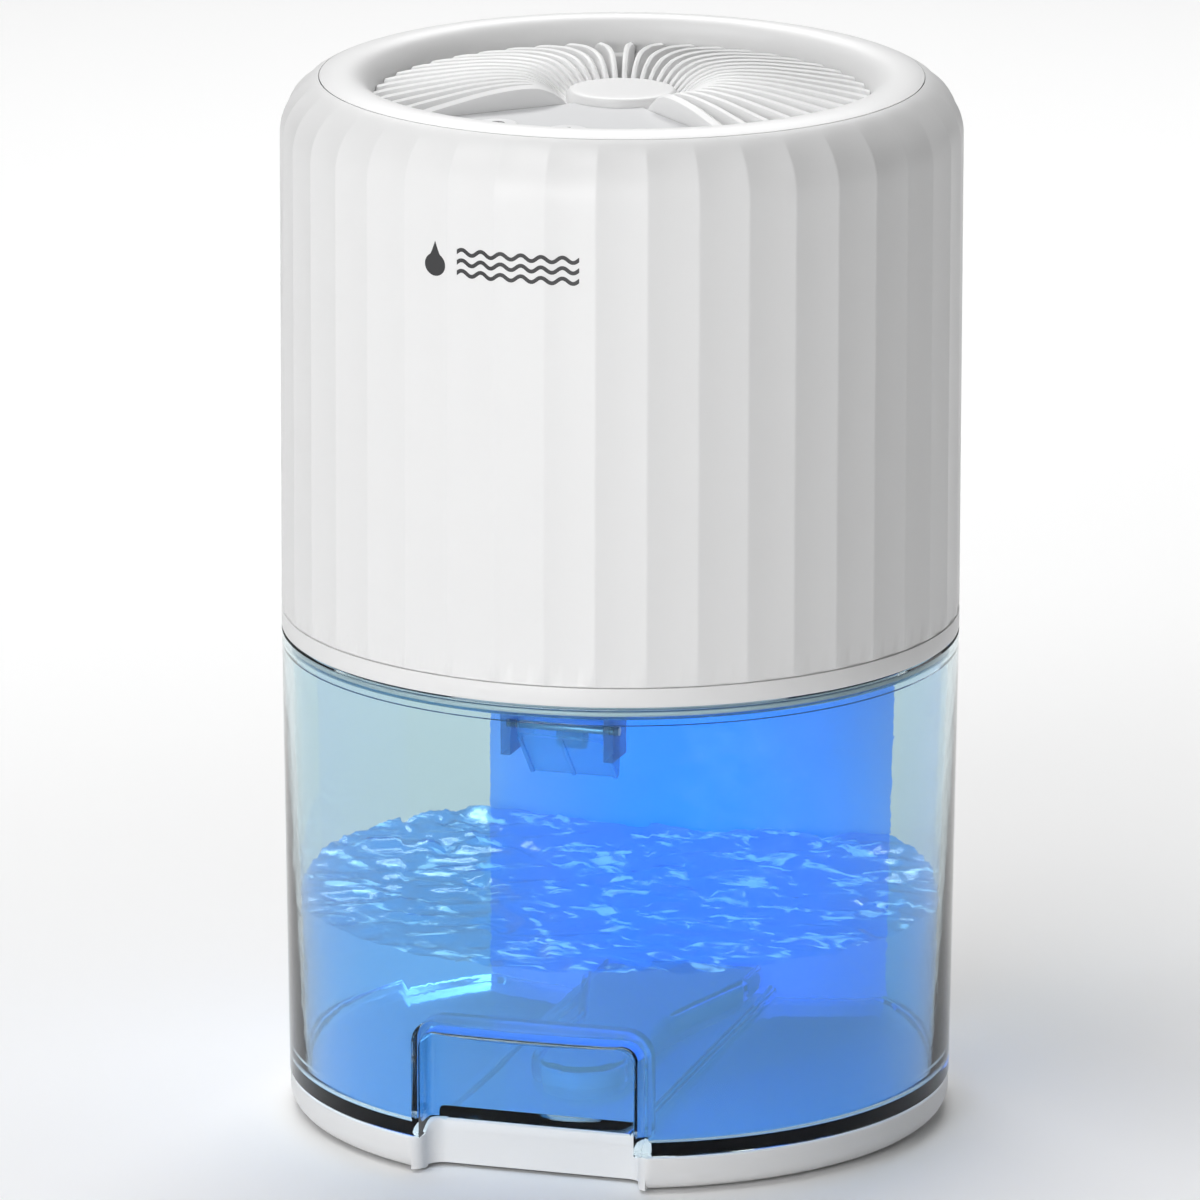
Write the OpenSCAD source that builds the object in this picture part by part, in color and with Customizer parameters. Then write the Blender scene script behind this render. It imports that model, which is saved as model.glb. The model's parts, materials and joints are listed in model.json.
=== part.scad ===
// Desktop thermoelectric dehumidifier with a clear slide-out water tank.
// The origin is the centre of the footprint on the surface it stands on.
// The front, with the finger pocket and the buttons, faces -Y, and +Z is up. Millimetres.

/* [Overall] */
// Height of the crest of the top rim above the surface
total_h = 235; // [233:0.5:240]
// Outer radius of the collar and of the fluted housing
body_r = 75; // [75:0.5:77]
// Wall thickness of the moulded covers
wall = 2.2; // [2:0.1:2.4]

/* [Base] */
// Height of the rubber feet below the base rim
foot_lift = 0.5; // [0.4:0.1:1]
// Height of the base ring's top edge
base_top = 8.3; // [8:0.1:9]
// Outer radius of the base ring
base_r = 73.4; // [73:0.1:74]
// Rounding of the base ring's bottom edge
base_round = 4.5; // [3:0.5:5]

/* [Tank] */
// Height of the underside of the collar, where the tank bay ends
bay_top = 110.3; // [108:0.1:112]
// Outer radius of the tank at its bottom edge
tank_foot_r = 73.6; // [73:0.1:74]
// Clearance between the tank and everything it slides past
slide_gap = 0.3; // [0.3:0.05:0.5]
// Width of the finger pocket
pocket_w = 49.2; // [44:0.2:54]
// Depth of the finger pocket, measured in from the base ring
pocket_depth = 13; // [10:0.5:15]
// Height of the finger pocket above the base ring
pocket_h = 25; // [20:1:30]
// Radius of the pocket's upper corners
pocket_round = 4; // [2:0.5:6]
// Radius of the curved rear face of the tank bay
bay_face_r = 148.6; // [148.6:0.1:149]
// Distance of the rear face's centre behind the middle
bay_face_y = 197.4; // [197:0.1:198]

/* [Housing] */
// Height of the collar's top line
collar_top = 114.7; // [114.2:0.1:116]
// Number of flutes around the housing
flute_count = 42; // [36:6:48]
// Depth of a flute below the housing radius
flute_depth = 0.42; // [0.3:0.02:0.9]
// Radius of the cutter that shapes a flute
flute_round = 75; // [30:5:90]
// Radius of the shoulder between the side and the top
shoulder_r = 14; // [12:0.5:14.5]
// Radius of the seam between the housing and the top rim
seam_r = 66.4; // [66:0.1:67]
// Number of intake slots at the back
slot_count = 9; // [7:2:13]

/* [Outlet grille] */
// Radius of the opening in the top rim
opening_r = 54.8; // [54:0.2:55]
// Rounding from the crest down into the opening
lip_r = 6.2; // [5:0.2:6.2]
// Angle between two vanes
vane_pitch = 7.5; // [7.5:0.5:9]
// Thickness of a vane
vane_t = 1.6; // [1.2:0.1:2]
// Angle that the control panel takes out of the grille
panel_angle = 90; // [90]
// Radius of the cap in the middle of the grille
cap_r = 12.3; // [11:0.1:12.5]

/* [Controls] */
// Height of the control panel's face
panel_z = 229.2; // [228:0.1:229.4]
// Diameter of a button
button_d = 9.4; // [8:0.1:10]
// How far a button stands out of the panel
button_proud = 1; // [0.8:0.1:1.5]
// Travel of a button
button_travel = 0.7; // [0.4:0.1:0.7]
// Distance of the middle button from the centre
middle_button_r = 40.5; // [38:0.5:42]
// Distance of the side buttons from the centre
side_button_r = 42.3; // [40:0.1:43]
// Angle of the side buttons from the middle one
side_button_a = 22.8; // [20:0.1:24]

/* [Fan] */
// Side of the square fan frame
fan_size = 92; // [80:1:92]
// Height of the fan frame
fan_h = 25; // [25]
// Number of fan blades
blade_count = 7; // [5:1:9]
// Radius of the fan shaft
shaft_r = 1.5; // [1.5:0.1:2]

/* [Cooling unit] */
// Side of the square thermoelectric module
cell_size = 40; // [30:1:40]
// Thickness of the thermoelectric module
cell_t = 3.8; // [3.2:0.1:4]
// Number of fins on the hot side
hot_fins = 12; // [8:1:12]
// Number of fins on the cold side
cold_fins = 12; // [8:1:12]

/* [Float] */
// Half of the float's width
float_half_w = 9.9; // [8:0.1:10]

/* [Hidden] */
$fn = 96;

// A small overlap that makes cuts and joins clean
cut = 0.1;
// Longer than anything a cut has to pass through
far = 200;
housing_white = [0.93, 0.93, 0.93];
panel_grey = [0.80, 0.80, 0.81];
clear_blue = [0.45, 0.75, 0.92, 0.45];
board_green = [0.10, 0.35, 0.22];
steel_grey = [0.62, 0.63, 0.65];
alloy_grey = [0.72, 0.73, 0.74];
soft_black = [0.12, 0.12, 0.13];

// Base: a rim on four feet, with a tongue that guides the tank
foot_r = 6;
foot_t = 1.5;
foot_at = 41;
plate_t = 2.2;
lip_rise = 2.6;
lip_half_w = 20.6;
notch_round = 4;
notch_end_r = 2.6;
tongue_r = 9;
tongue_y = -27;
tongue_turn_y = 5;
tongue_wide_y = 35;
tongue_half_w = 17.5;
tongue_top = 16;
pocket_back_y = -(base_r - pocket_depth);

// Tank: tapered wall, a flat floor that is raised over the base ring's lip, and a lid dropped in from above
tank_foot_z = base_top + slide_gap;
tank_rim_z = bay_top - slide_gap;
tank_rim_r = body_r;
tank_wall = 2.2;
tank_floor_z = 10.9;
lip_way_half_w = lip_half_w + 0.5;
lip_way_z = base_top + lip_rise + 0.3;
tank_face_gap = 0.6;
tunnel_gap = 0.5;
lid_z = tank_rim_z - 2.7;
lid_top_z = tank_rim_z - 0.1;
lid_plate_t = 1.6;
lid_inset = 2.45;
seal_inset = 2.25;
seal_w = 1.15;
seal_h = 1;
seal_z = lid_z + 0.6;
ledge_w = 1.3;
ledge_h = 1.5;
inlet_r = 5;
inlet_drop = 3;
drip_y = -21;
plug_r = 8;
plug_at = [40, 8];

// Column behind the tank
column_r = body_r - 0.1;
column_inner_r = column_r - wall;
diffuser_t = 2;
web_y = 55.2;
web_t = 2;
column_screw_at = [29.5, 60];
jack_z = 26;
jack_r = 2.75;
jack_hole_r = 4.4;
board_y = 60;
board_t = 1.6;

// Housing
shell_inner_r = body_r - 3;
shell_inner_shoulder = shoulder_r - 3;
shoulder_c = body_r - shoulder_r;
shoulder_z = total_h - shoulder_r;
flute_c = body_r - flute_depth + flute_round;
flute_steps = 6;
boss_at_r = 67;
boss_r = 4;
boss_h = 14;
screw_r = 1.4;
slot_w = 4.5;
slot_low = 128;
slot_high = 180;
cover_low = collar_top - plate_t;
wire_slot = [22, 5];
wire_slot_y = 61;

// Fan stack, hung below the outlet
fan_low = total_h - 46;
fan_high = fan_low + fan_h;
fan_bore_r = fan_size / 2 - 3;
fan_hole_at = fan_size / 2 - 4.75;
chassis_t = 3;
chassis_low = fan_low - chassis_t;
chassis_r = shell_inner_r - 0.4;
bracket_t = 3;
hub_r = 17;
hub_low = fan_low + 4.5;
hub_high = fan_high - 1.5;
hub_cup_r = 15.6;
hub_top_t = 2;
magnet_r = 13.9;
stator_r = 13.3;
tube_r = 5.6;
bearing_r = 4;
bearing_t = 4;
bearing_clearance = 0.04;
blade_tilt = 38;
blade_t = 1.3;
blade_tip_r = fan_bore_r - 1;

// Cooling unit, standing on its edge between the two heat sinks
cell_z = 156;
sink_low = 126;
sink_high = chassis_low;
hot_base = [68, 5];
hot_fin_depth = 37;
hot_fin_t = 1.2;
cold_base = [62, 5];
cold_fin_depth = 25;
cold_fin_t = 1;
cold_low = 128;
cold_high = sink_high - 2;
foam_half_w = 32;
clamp_x = 27;
clamp_edge = 5;
clamp_r = 1.5;

// Tray below the cold fins, with a spout into the tank
tray_low = 117.5;
tray_high = 124;
tray_half_w = 36;
tray_front = -35;
tray_back = 2;
tray_wall = 1.6;
spout_r = 3.5;
spout_bore = 2.2;
nozzle_r = 5.5;

// Top rim, grille and controls
lip_z = total_h - lip_r;
ledge_z = 220.5;
ledge_top = 222;
rim_inner_r = 57;
grille_r = opening_r - 0.2;
grille_ring_w = 2.2;
grille_base = ledge_top;
grille_ring_top = 227.5;
hub_top = 227.8;
cap_top = 231.1;
cap_round = 1.4;
cap_stem_r = 7;
end_wall_t = 3;
panel_t = 2;
wedge_offset = end_wall_t / 2 * sqrt(2) + 0.1;
board_low = 217.2;
board_high = 218.8;
board_edge_r = 50;
post_r = 2.5;
post_at = [[0, -26], [-9, -48.5], [9, -48.5]];
switch_size = 6;
switch_h = 3.3;
plunger_h = 0.6;
button_bottom = board_high + switch_h + plunger_h + button_travel + 0.1;
button_flange_top = panel_z - panel_t - 0.5;
// Upper edge of a vane: distance from the centre, height above the grille's base
vane_top = [
    [12, 5.8], [13.3, 6.4], [17.4, 10.3], [22.2, 11.9], [31.8, 11.7], [41.4, 10.3], [51.6, 8.4],
    [54.3, 7.7]
];

// Float: a wedge that hangs from a pin behind the front wall
pin_y = -42;
pin_z = 97;
pin_r = 1;
pin_clearance = 0.05;
lug_gap = 0.7;
lug_t = 2.2;
lug_x = float_half_w + lug_gap;
lug_low = 91;
lug_half_depth = 5;
barrel_r = 2.8;
float_toe = [-33.8, 84.2];
float_heel = [-32, 96.5];
float_nose = [-44.4, 98];
magnet_half = 3;
magnet_at = [-35.6, 93];

// Placement of the three buttons: x, y
button_places = [
    [-side_button_r * sin(side_button_a), -side_button_r * cos(side_button_a)],
    [0, -middle_button_r],
    [side_button_r * sin(side_button_a), -side_button_r * cos(side_button_a)]
];

// ---------- shared shapes ----------

// A ring from radius inner to radius outer
module ring(outer, inner, h) {
    difference() {
        cylinder(r = outer, h = h);
        translate([0, 0, -cut]) cylinder(r = inner, h = h + 2 * cut);
    }
}

// A block given by its two corners
module block(low, high) {
    translate(low) cube(high - low);
}

// Four copies at the corners of a rectangle
module at_corners(x, y) {
    for (sx = [-1, 1], sy = [-1, 1]) translate([sx * x, sy * y, 0]) children();
}

// The plan of the bay's rear face, grown outwards by grow
module bay_face(grow) {
    translate([0, bay_face_y]) circle(r = bay_face_r + grow, $fn = 240);
}

// The column's plan behind the tank: radius r, set back from the face by back
module column_plan(r, back) {
    intersection() {
        circle(r = r);
        bay_face(-back);
    }
}

// The tank's plan at its rim, inset on every side
module tank_plan(inset) {
    difference() {
        circle(r = tank_rim_r - inset);
        bay_face(tank_face_gap + inset);
    }
}

// The plan of the guide tongue, grown by grow
module tongue_plan(grow) {
    difference() {
        union() {
            translate([0, tongue_y]) circle(r = tongue_r + grow);
            polygon([
                [-tongue_r - grow, tongue_y], [tongue_r + grow, tongue_y],
                [tongue_r + grow, tongue_turn_y], [tongue_half_w + grow, tongue_wide_y],
                [tongue_half_w + grow, -tongue_y * 2], [-tongue_half_w - grow, -tongue_y * 2],
                [-tongue_half_w - grow, tongue_wide_y], [-tongue_r - grow, tongue_turn_y]
            ]);
        }
        bay_face(0);
    }
}

// The finger pocket's space, grown by grow, with two rounded upper corners
module pocket_space(grow) {
    half_w = pocket_w / 2 + grow;
    round_r = pocket_round + grow;
    high = base_top + pocket_h + grow;
    translate([0, pocket_back_y + grow, 0]) rotate([90, 0, 0]) linear_extrude(far / 4) union() {
        translate([-half_w, 0]) square([2 * half_w, high - round_r]);
        translate([-half_w + round_r, 0]) square([2 * (half_w - round_r), high]);
        for (side = [-1, 1]) translate([side * (half_w - round_r), high - round_r]) circle(r = round_r);
    }
}

// Side view of the housing: straight side, round shoulder and flat top
module housing_profile(r, shoulder, low, high) {
    translate([0, low]) square([r, high - shoulder - low]);
    translate([0, high - shoulder - cut]) square([r - shoulder, shoulder + cut]);
    intersection() {
        translate([r - shoulder, high - shoulder]) circle(r = shoulder);
        translate([r - shoulder - cut, low]) square([shoulder + cut, high - low]);
    }
}

// A wedge between the grille's two end walls, open to the front
module front_wedge(h) {
    linear_extrude(h) polygon([[0, -wedge_offset], [-far / 2, -far / 2 - wedge_offset],
        [far / 2, -far / 2 - wedge_offset]]);
}

// ---------- base and column ----------

// The front notch's plan, with rounded inner corners; its outer ends round off into the ring
module notch_plan() {
    half_w = pocket_w / 2;
    end_x = half_w + notch_end_r;
    end_y = -sqrt(pow(base_r - notch_end_r, 2) - pow(end_x, 2));
    difference() {
        union() {
            translate([-half_w, -far]) square([2 * half_w, far + pocket_back_y - notch_round]);
            translate([-half_w + notch_round, -far])
                square([2 * (half_w - notch_round), far + pocket_back_y]);
            for (side = [-1, 1]) translate([side * (half_w - notch_round), pocket_back_y - notch_round])
                circle(r = notch_round);
            for (side = [-1, 1]) translate([side * end_x, end_y])
                polygon([[0, 0], [-side * notch_end_r, 0], [-side * notch_end_r, -far],
                    [side * end_x, end_y] * 2]);
        }
        for (side = [-1, 1]) translate([side * end_x, end_y]) circle(r = notch_end_r);
    }
}

module base_pan() {
    inner_r = base_r - plate_t - 0.6;
    notch_half = pocket_w / 2;
    color(housing_white) {
        difference() {
            rotate_extrude() {
                translate([0, foot_lift]) square([base_r - base_round, base_top - foot_lift]);
                translate([0, foot_lift + base_round])
                    square([base_r, base_top - foot_lift - base_round]);
                intersection() {
                    translate([base_r - base_round, foot_lift + base_round]) circle(r = base_round);
                    translate([base_r - base_round - cut, foot_lift])
                        square([base_round + cut, base_round + cut]);
                }
            }
            translate([0, 0, -cut]) linear_extrude(far) notch_plan();
            difference() {
                translate([0, 0, -cut]) cylinder(r = inner_r, h = base_top - plate_t + cut);
                block([-notch_half - plate_t, -far, -far],
                    [notch_half + plate_t, pocket_back_y + plate_t, far]);
            }
            for (x = [-column_screw_at[0], column_screw_at[0]]) translate([x, column_screw_at[1], 0])
                cylinder(r = clamp_r + 0.1, h = far);
        }
        block([-lip_half_w, pocket_back_y, base_top - cut],
            [lip_half_w, pocket_back_y + plate_t, base_top + lip_rise]);
        translate([0, 0, base_top - cut]) linear_extrude(tongue_top - base_top + cut) tongue_plan(0);
        at_corners(foot_at, foot_at)
            translate([0, 0, foot_t]) cylinder(r = foot_r + 1, h = base_top - plate_t - foot_t + cut);
    }
}

module rubber_feet() {
    color(soft_black) at_corners(foot_at, foot_at) {
        cylinder(r1 = foot_r - 0.4, r2 = foot_r, h = foot_t / 2);
        translate([0, 0, foot_t / 2 - cut]) cylinder(r = foot_r, h = foot_t / 2 + cut);
    }
}

module base_screws() {
    head_z = base_top - plate_t - 1.6;
    color(steel_grey) for (side = [-1, 1]) translate([side * column_screw_at[0], column_screw_at[1], 0]) {
        translate([0, 0, head_z]) cylinder(r = clamp_r + 1.5, h = 1.6);
        translate([0, 0, head_z + 1]) cylinder(r = clamp_r, h = 14);
    }
}

module rear_column() {
    color(housing_white) difference() {
        union() {
            translate([0, 0, base_top]) linear_extrude(bay_top - base_top) difference() {
                column_plan(column_r, diffuser_t);
                circle(r = column_inner_r);
            }
            translate([0, 0, base_top]) linear_extrude(wall) column_plan(column_r, diffuser_t);
            translate([0, 0, base_top]) linear_extrude(bay_top - base_top) intersection() {
                column_plan(column_r, diffuser_t);
                translate([-far / 2, web_y]) square([far, web_t]);
            }
            for (side = [-1, 1]) translate([side * column_screw_at[0], column_screw_at[1], base_top])
                cylinder(r = boss_r, h = boss_h);
        }
        for (side = [-1, 1]) translate([side * column_screw_at[0], column_screw_at[1], 0])
            cylinder(r = clamp_r, h = base_top + boss_h - 1);
        translate([0, body_r - 6, jack_z]) rotate([-90, 0, 0]) cylinder(r = jack_hole_r, h = 10);
    }
}

module light_diffuser() {
    color([0.25, 0.55, 1.0]) translate([0, 0, base_top]) linear_extrude(bay_top - base_top) difference() {
        column_plan(column_r, 0);
        bay_face(-diffuser_t);
    }
}

module led_strip() {
    strip_half_w = 5;
    strip_t = 1.2;
    led_size = 3.5;
    led_t = 1.4;
    led_count = 8;
    low = 18;
    high = 104;
    margin = 5;
    pitch = (high - low - 2 * margin - led_size) / (led_count - 1);
    color(housing_white) {
        block([-strip_half_w, web_y - strip_t, low], [strip_half_w, web_y, high]);
        for (i = [0 : led_count - 1])
            translate([-led_size / 2, web_y - strip_t - led_t, low + margin + i * pitch])
                cube([led_size, led_t + cut, led_size]);
    }
}

module power_board() {
    half_w = 24;
    low = 18;
    high = 92;
    color(board_green) {
        block([-half_w, board_y, low], [half_w, board_y + board_t, high]);
        for (x = [-half_w + 4, half_w - 4], z = [low + 4, high - 4])
            translate([x, web_y + web_t, z]) rotate([-90, 0, 0])
                cylinder(r = 2.2, h = board_y - web_y - web_t + cut);
    }
    color(soft_black) {
        translate([-12, board_y + board_t - cut, 62]) rotate([-90, 0, 0]) cylinder(r = 5, h = 8);
        translate([4, board_y + board_t - cut, 46]) cube([13, 7, 13]);
        translate([-18, board_y + board_t - cut, 42]) cube([9, 2.5, 9]);
    }
}

module dc_jack() {
    body_front = board_y + board_t;
    body_back = 72.2;
    color(soft_black) difference() {
        union() {
            block([-4.5, body_front, jack_z - 5.5], [4.5, body_back, jack_z + 5]);
            translate([0, body_back - cut, jack_z]) rotate([-90, 0, 0])
                cylinder(r = jack_hole_r - 0.2, h = 2.4);
        }
        translate([0, body_front + 2.4, jack_z]) rotate([-90, 0, 0]) cylinder(r = jack_r, h = 20);
    }
    color(steel_grey) translate([0, body_front + 2, jack_z]) rotate([-90, 0, 0]) cylinder(r = 1, h = 9);
}

// ---------- upper housing ----------

module bottom_cover() {
    color(housing_white) difference() {
        union() {
            translate([0, 0, cover_low]) cylinder(r = body_r, h = plate_t);
            translate([0, 0, bay_top]) ring(body_r, body_r - 2.4, cover_low - bay_top + cut);
        }
        translate([0, drip_y, 0]) cylinder(r = nozzle_r, h = far);
        for (a = [45 : 90 : 315]) rotate(a) translate([boss_at_r, 0, 0]) cylinder(r = screw_r + 0.2, h = far);
        translate([-wire_slot[0] / 2, wire_slot_y, 0]) cube([wire_slot[0], wire_slot[1], far]);
    }
}

module housing_screws() {
    color(steel_grey) for (a = [45 : 90 : 315]) rotate(a) translate([boss_at_r, 0, cover_low - 1.5]) {
        cylinder(r = screw_r + 1.6, h = 1.5);
        translate([0, 0, 1]) cylinder(r = screw_r, h = 12);
    }
}

// One point on the fluted outline: u is the angle from the middle of the nearest flute
function flute_radius(u) =
    min(body_r, flute_c * cos(u) - sqrt(pow(flute_round, 2) - pow(flute_c * sin(u), 2)));
function flute_point(i, k) =
    let (u = (k / flute_steps - 0.5) * 360 / flute_count, a = -90 + i * 360 / flute_count + u)
    flute_radius(u) * [cos(a), sin(a)];

// The housing's fluted outline, with a flute facing the front
module fluted_plan() {
    polygon([for (i = [0 : flute_count - 1], k = [0 : flute_steps - 1]) flute_point(i, k)]);
}

module intake_slots() {
    for (i = [0 : slot_count - 1])
        rotate((i - (slot_count - 1) / 2) * 360 / flute_count)
            block([-slot_w / 2, shell_inner_r - 4, slot_low], [slot_w / 2, body_r + 4, slot_high]);
}

module body_shell() {
    color(housing_white) {
        difference() {
            intersection() {
                rotate_extrude($fn = 180) housing_profile(body_r + 0.2, shoulder_r, collar_top, total_h);
                translate([0, 0, collar_top - 1]) linear_extrude(far) fluted_plan();
            }
            rotate_extrude($fn = 180)
                housing_profile(shell_inner_r, shell_inner_shoulder, collar_top - 1, total_h - 3);
            translate([0, 0, total_h - 8]) cylinder(r = seam_r, h = far);
            intake_slots();
        }
        for (a = [45 : 90 : 315]) rotate(a) {
            translate([boss_at_r, 0, collar_top]) difference() {
                union() {
                    cylinder(r = boss_r, h = boss_h);
                    block([0, -1.5, 0], [shell_inner_r - boss_at_r + 0.5, 1.5, boss_h]);
                }
                translate([0, 0, -cut]) cylinder(r = screw_r, h = boss_h - 1);
            }
            block([shell_inner_r - 6, -5, chassis_low - bracket_t],
                [shell_inner_r + 0.5, 5, chassis_low]);
        }
    }
}

module intake_filter() {
    color(soft_black) intersection() {
        translate([0, 0, slot_low - 4]) ring(shell_inner_r, shell_inner_r - 1.5, slot_high - slot_low + 6);
        linear_extrude(far) polygon([[0, 0], [-far, far * 1.1], [far, far * 1.1]]);
    }
}

module chassis_plate() {
    color(alloy_grey) difference() {
        translate([0, 0, chassis_low]) cylinder(r = chassis_r, h = chassis_t);
        cylinder(r = fan_bore_r, h = far * 2);
        at_corners(fan_hole_at, fan_hole_at) cylinder(r = 2, h = far * 2);
    }
}

// ---------- cooling unit ----------

module hot_heatsink() {
    back = cell_t + hot_base[1];
    pitch = (hot_base[0] - hot_fin_t) / (hot_fins - 1);
    color(alloy_grey) difference() {
        union() {
            block([-hot_base[0] / 2, cell_t, sink_low], [hot_base[0] / 2, back, sink_high]);
            for (i = [0 : hot_fins - 1]) translate([-hot_base[0] / 2 + i * pitch, back - cut, sink_low])
                cube([hot_fin_t, hot_fin_depth + cut, sink_high - sink_low]);
        }
        clamp_places() cylinder(r = clamp_r, h = far, center = true);
    }
}

module peltier_module() {
    half = cell_size / 2;
    color("white") block([-half, 0, cell_z - half], [half, cell_t, cell_z + half]);
}

module insulation_frame() {
    half = cell_size / 2;
    color([0.2, 0.2, 0.22]) difference() {
        block([-foam_half_w, 0, sink_low + 1], [foam_half_w, cell_t, sink_high - 1]);
        block([-half, -cut, cell_z - half], [half, cell_t + cut, cell_z + half]);
        clamp_places() cylinder(r = clamp_r + 0.2, h = far, center = true);
    }
}

module cold_sink() {
    fin_reach = clamp_x - 5;
    pitch = 2 * fin_reach / (cold_fins - 1);
    color(alloy_grey) difference() {
        union() {
            block([-cold_base[0] / 2, -cold_base[1], cold_low], [cold_base[0] / 2, 0, cold_high]);
            for (i = [0 : cold_fins - 1])
                translate([-fin_reach - cold_fin_t / 2 + i * pitch, -cold_base[1] - cold_fin_depth,
                    cold_low + 4])
                    cube([cold_fin_t, cold_fin_depth + cut, cold_high - cold_low - 8]);
        }
        clamp_places() cylinder(r = clamp_r + 0.1, h = far, center = true);
    }
}

// The four clamp screws' axes, along Y
module clamp_places() {
    for (x = [-clamp_x, clamp_x], z = [cold_low + clamp_edge, cold_high - clamp_edge])
        translate([x, 0, z]) rotate([90, 0, 0]) children();
}

module clamp_screws() {
    color(steel_grey) clamp_places() {
        translate([0, 0, cold_base[1]]) cylinder(r = clamp_r + 1.4, h = 2.2);
        translate([0, 0, -cell_t - hot_base[1]]) cylinder(r = clamp_r, h = 2 * cold_base[1] + cell_t + 1);
    }
}

module condensate_tray() {
    color(housing_white) difference() {
        union() {
            block([-tray_half_w, tray_front, tray_low], [tray_half_w, tray_back, tray_high]);
            translate([0, drip_y, cover_low]) cylinder(r = spout_r, h = tray_low - cover_low + cut);
            for (x = [-tray_half_w + 4, tray_half_w - 4], y = [tray_front + 4, tray_back - 4])
                translate([x, y, collar_top]) cylinder(r = 3, h = tray_low - collar_top + cut);
        }
        block([-tray_half_w + tray_wall, tray_front + tray_wall, tray_low + tray_wall],
            [tray_half_w - tray_wall, tray_back - tray_wall, far]);
        translate([0, drip_y, 0]) cylinder(r = spout_bore, h = far);
    }
}

module drip_nozzle() {
    color(soft_black) translate([0, drip_y, 0]) difference() {
        union() {
            translate([0, 0, bay_top + 0.7])
                cylinder(r1 = nozzle_r - 1.4, r2 = nozzle_r, h = cover_low - bay_top - 0.7);
            translate([0, 0, cover_low - cut]) cylinder(r = nozzle_r, h = plate_t + 2 * cut);
            translate([0, 0, collar_top]) cylinder(r = nozzle_r + 1.6, h = 1.2);
        }
        translate([0, 0, cover_low]) cylinder(r = spout_r, h = far);
        cylinder(r = spout_bore + 0.6, h = far);
    }
}

module reed_switch() {
    color([0.75, 0.85, 0.8]) {
        translate([0, -40.5, collar_top + 1.6]) rotate([0, 90, 0]) cylinder(r = 1.2, h = 15, center = true);
        for (x = [-7, 7]) translate([x, -40.5, collar_top]) cylinder(r = 1.6, h = 2.2);
    }
}

// ---------- fan ----------

module fan_frame() {
    half = fan_size / 2;
    color(soft_black) {
        difference() {
            block([-half, -half, fan_low], [half, half, fan_high]);
            cylinder(r = fan_bore_r, h = far * 2);
            at_corners(fan_hole_at, fan_hole_at) cylinder(r = 2.2, h = far * 2);
        }
        difference() {
            union() {
                translate([0, 0, fan_low]) cylinder(r = hub_r, h = 2.5);
                for (a = [20 : 90 : 290]) rotate(a)
                    block([0, -2, fan_low], [fan_bore_r + 1, 2, fan_low + 2.5]);
                translate([0, 0, fan_low]) cylinder(r = tube_r, h = hub_high - hub_top_t - 2 - fan_low);
            }
            translate([0, 0, fan_low + 2.5]) cylinder(r = bearing_r, h = far);
        }
    }
}

module fan_stator() {
    low = hub_low + 2;
    color([0.72, 0.45, 0.2]) {
        translate([0, 0, low + 3]) ring(8, tube_r, 5);
        for (a = [0 : 90 : 270]) rotate(a) {
            block([7, -2.5, low + 3], [11, 2.5, low + 8]);
            block([7.6, -4, low + 1.5], [10.6, 4, low + 9.5]);
            intersection() {
                translate([0, 0, low + 3]) ring(stator_r, 10.5, 5);
                block([0, -7, low], [far, 7, far * 2]);
            }
        }
    }
}

module fan_bearings() {
    tube_top = hub_high - hub_top_t - 2;
    color(steel_grey) for (z = [fan_low + 2.5, tube_top - bearing_t])
        translate([0, 0, z]) ring(bearing_r, shaft_r + bearing_clearance, bearing_t);
}

module fan_screws() {
    color(steel_grey) at_corners(fan_hole_at, fan_hole_at) {
        translate([0, 0, fan_high]) cylinder(r = 3.6, h = 2);
        translate([0, 0, chassis_low - 1]) cylinder(r = 1.9, h = fan_high - chassis_low + 1 + cut);
    }
}

module fan_impeller() {
    color(soft_black) difference() {
        union() {
            translate([0, 0, hub_low]) cylinder(r = hub_r, h = hub_high - hub_low);
            intersection() {
                translate([0, 0, hub_low]) cylinder(r = blade_tip_r, h = hub_high - hub_low);
                for (i = [0 : blade_count - 1]) rotate(i * 360 / blade_count)
                    translate([hub_r - 1, 0, (hub_low + hub_high) / 2]) rotate([blade_tilt, 0, 0])
                        translate([0, -14, -blade_t / 2]) cube([far, 28, blade_t]);
            }
        }
        translate([0, 0, hub_low - cut]) cylinder(r = hub_cup_r, h = hub_high - hub_low - hub_top_t + cut);
        cylinder(r = shaft_r, h = far * 2);
    }
}

module rotor_magnet() {
    color([0.25, 0.2, 0.2]) translate([0, 0, hub_low + 1])
        ring(hub_cup_r, magnet_r, hub_high - hub_top_t - hub_low - 1);
}

module fan_shaft() {
    color(steel_grey) translate([0, 0, fan_low + 2.9]) cylinder(r = shaft_r, h = hub_high - fan_low - 2.9);
}

// ---------- top rim, grille and controls ----------

module top_ring() {
    color(housing_white) rotate_extrude() difference() {
        union() {
            intersection() {
                translate([shoulder_c, shoulder_z]) circle(r = shoulder_r);
                translate([shoulder_c, lip_z - 1]) square([seam_r - shoulder_c, shoulder_r]);
            }
            intersection() {
                translate([opening_r + lip_r, lip_z]) circle(r = lip_r);
                translate([opening_r, lip_z - 1]) square([lip_r + 0.2, lip_r + 1]);
            }
            translate([opening_r, ledge_z]) square([rim_inner_r - opening_r, lip_z - ledge_z + 1]);
            translate([opening_r - 3, ledge_z]) square([rim_inner_r - opening_r + 3, ledge_top - ledge_z]);
        }
        translate([rim_inner_r, ledge_z - 1]) square([far, lip_z - ledge_z]);
        translate([61.5, lip_z - 0.8]) circle(r = 4.4);
    }
}

module vane(t) {
    rotate([90, 0, 0]) translate([0, grille_base, -t / 2]) linear_extrude(t)
        polygon(concat([[cap_r - 2, 1.5]], [[cap_r - 2, 5.8]], vane_top, [[grille_r, 7.4], [grille_r, 1.5]]));
}

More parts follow.
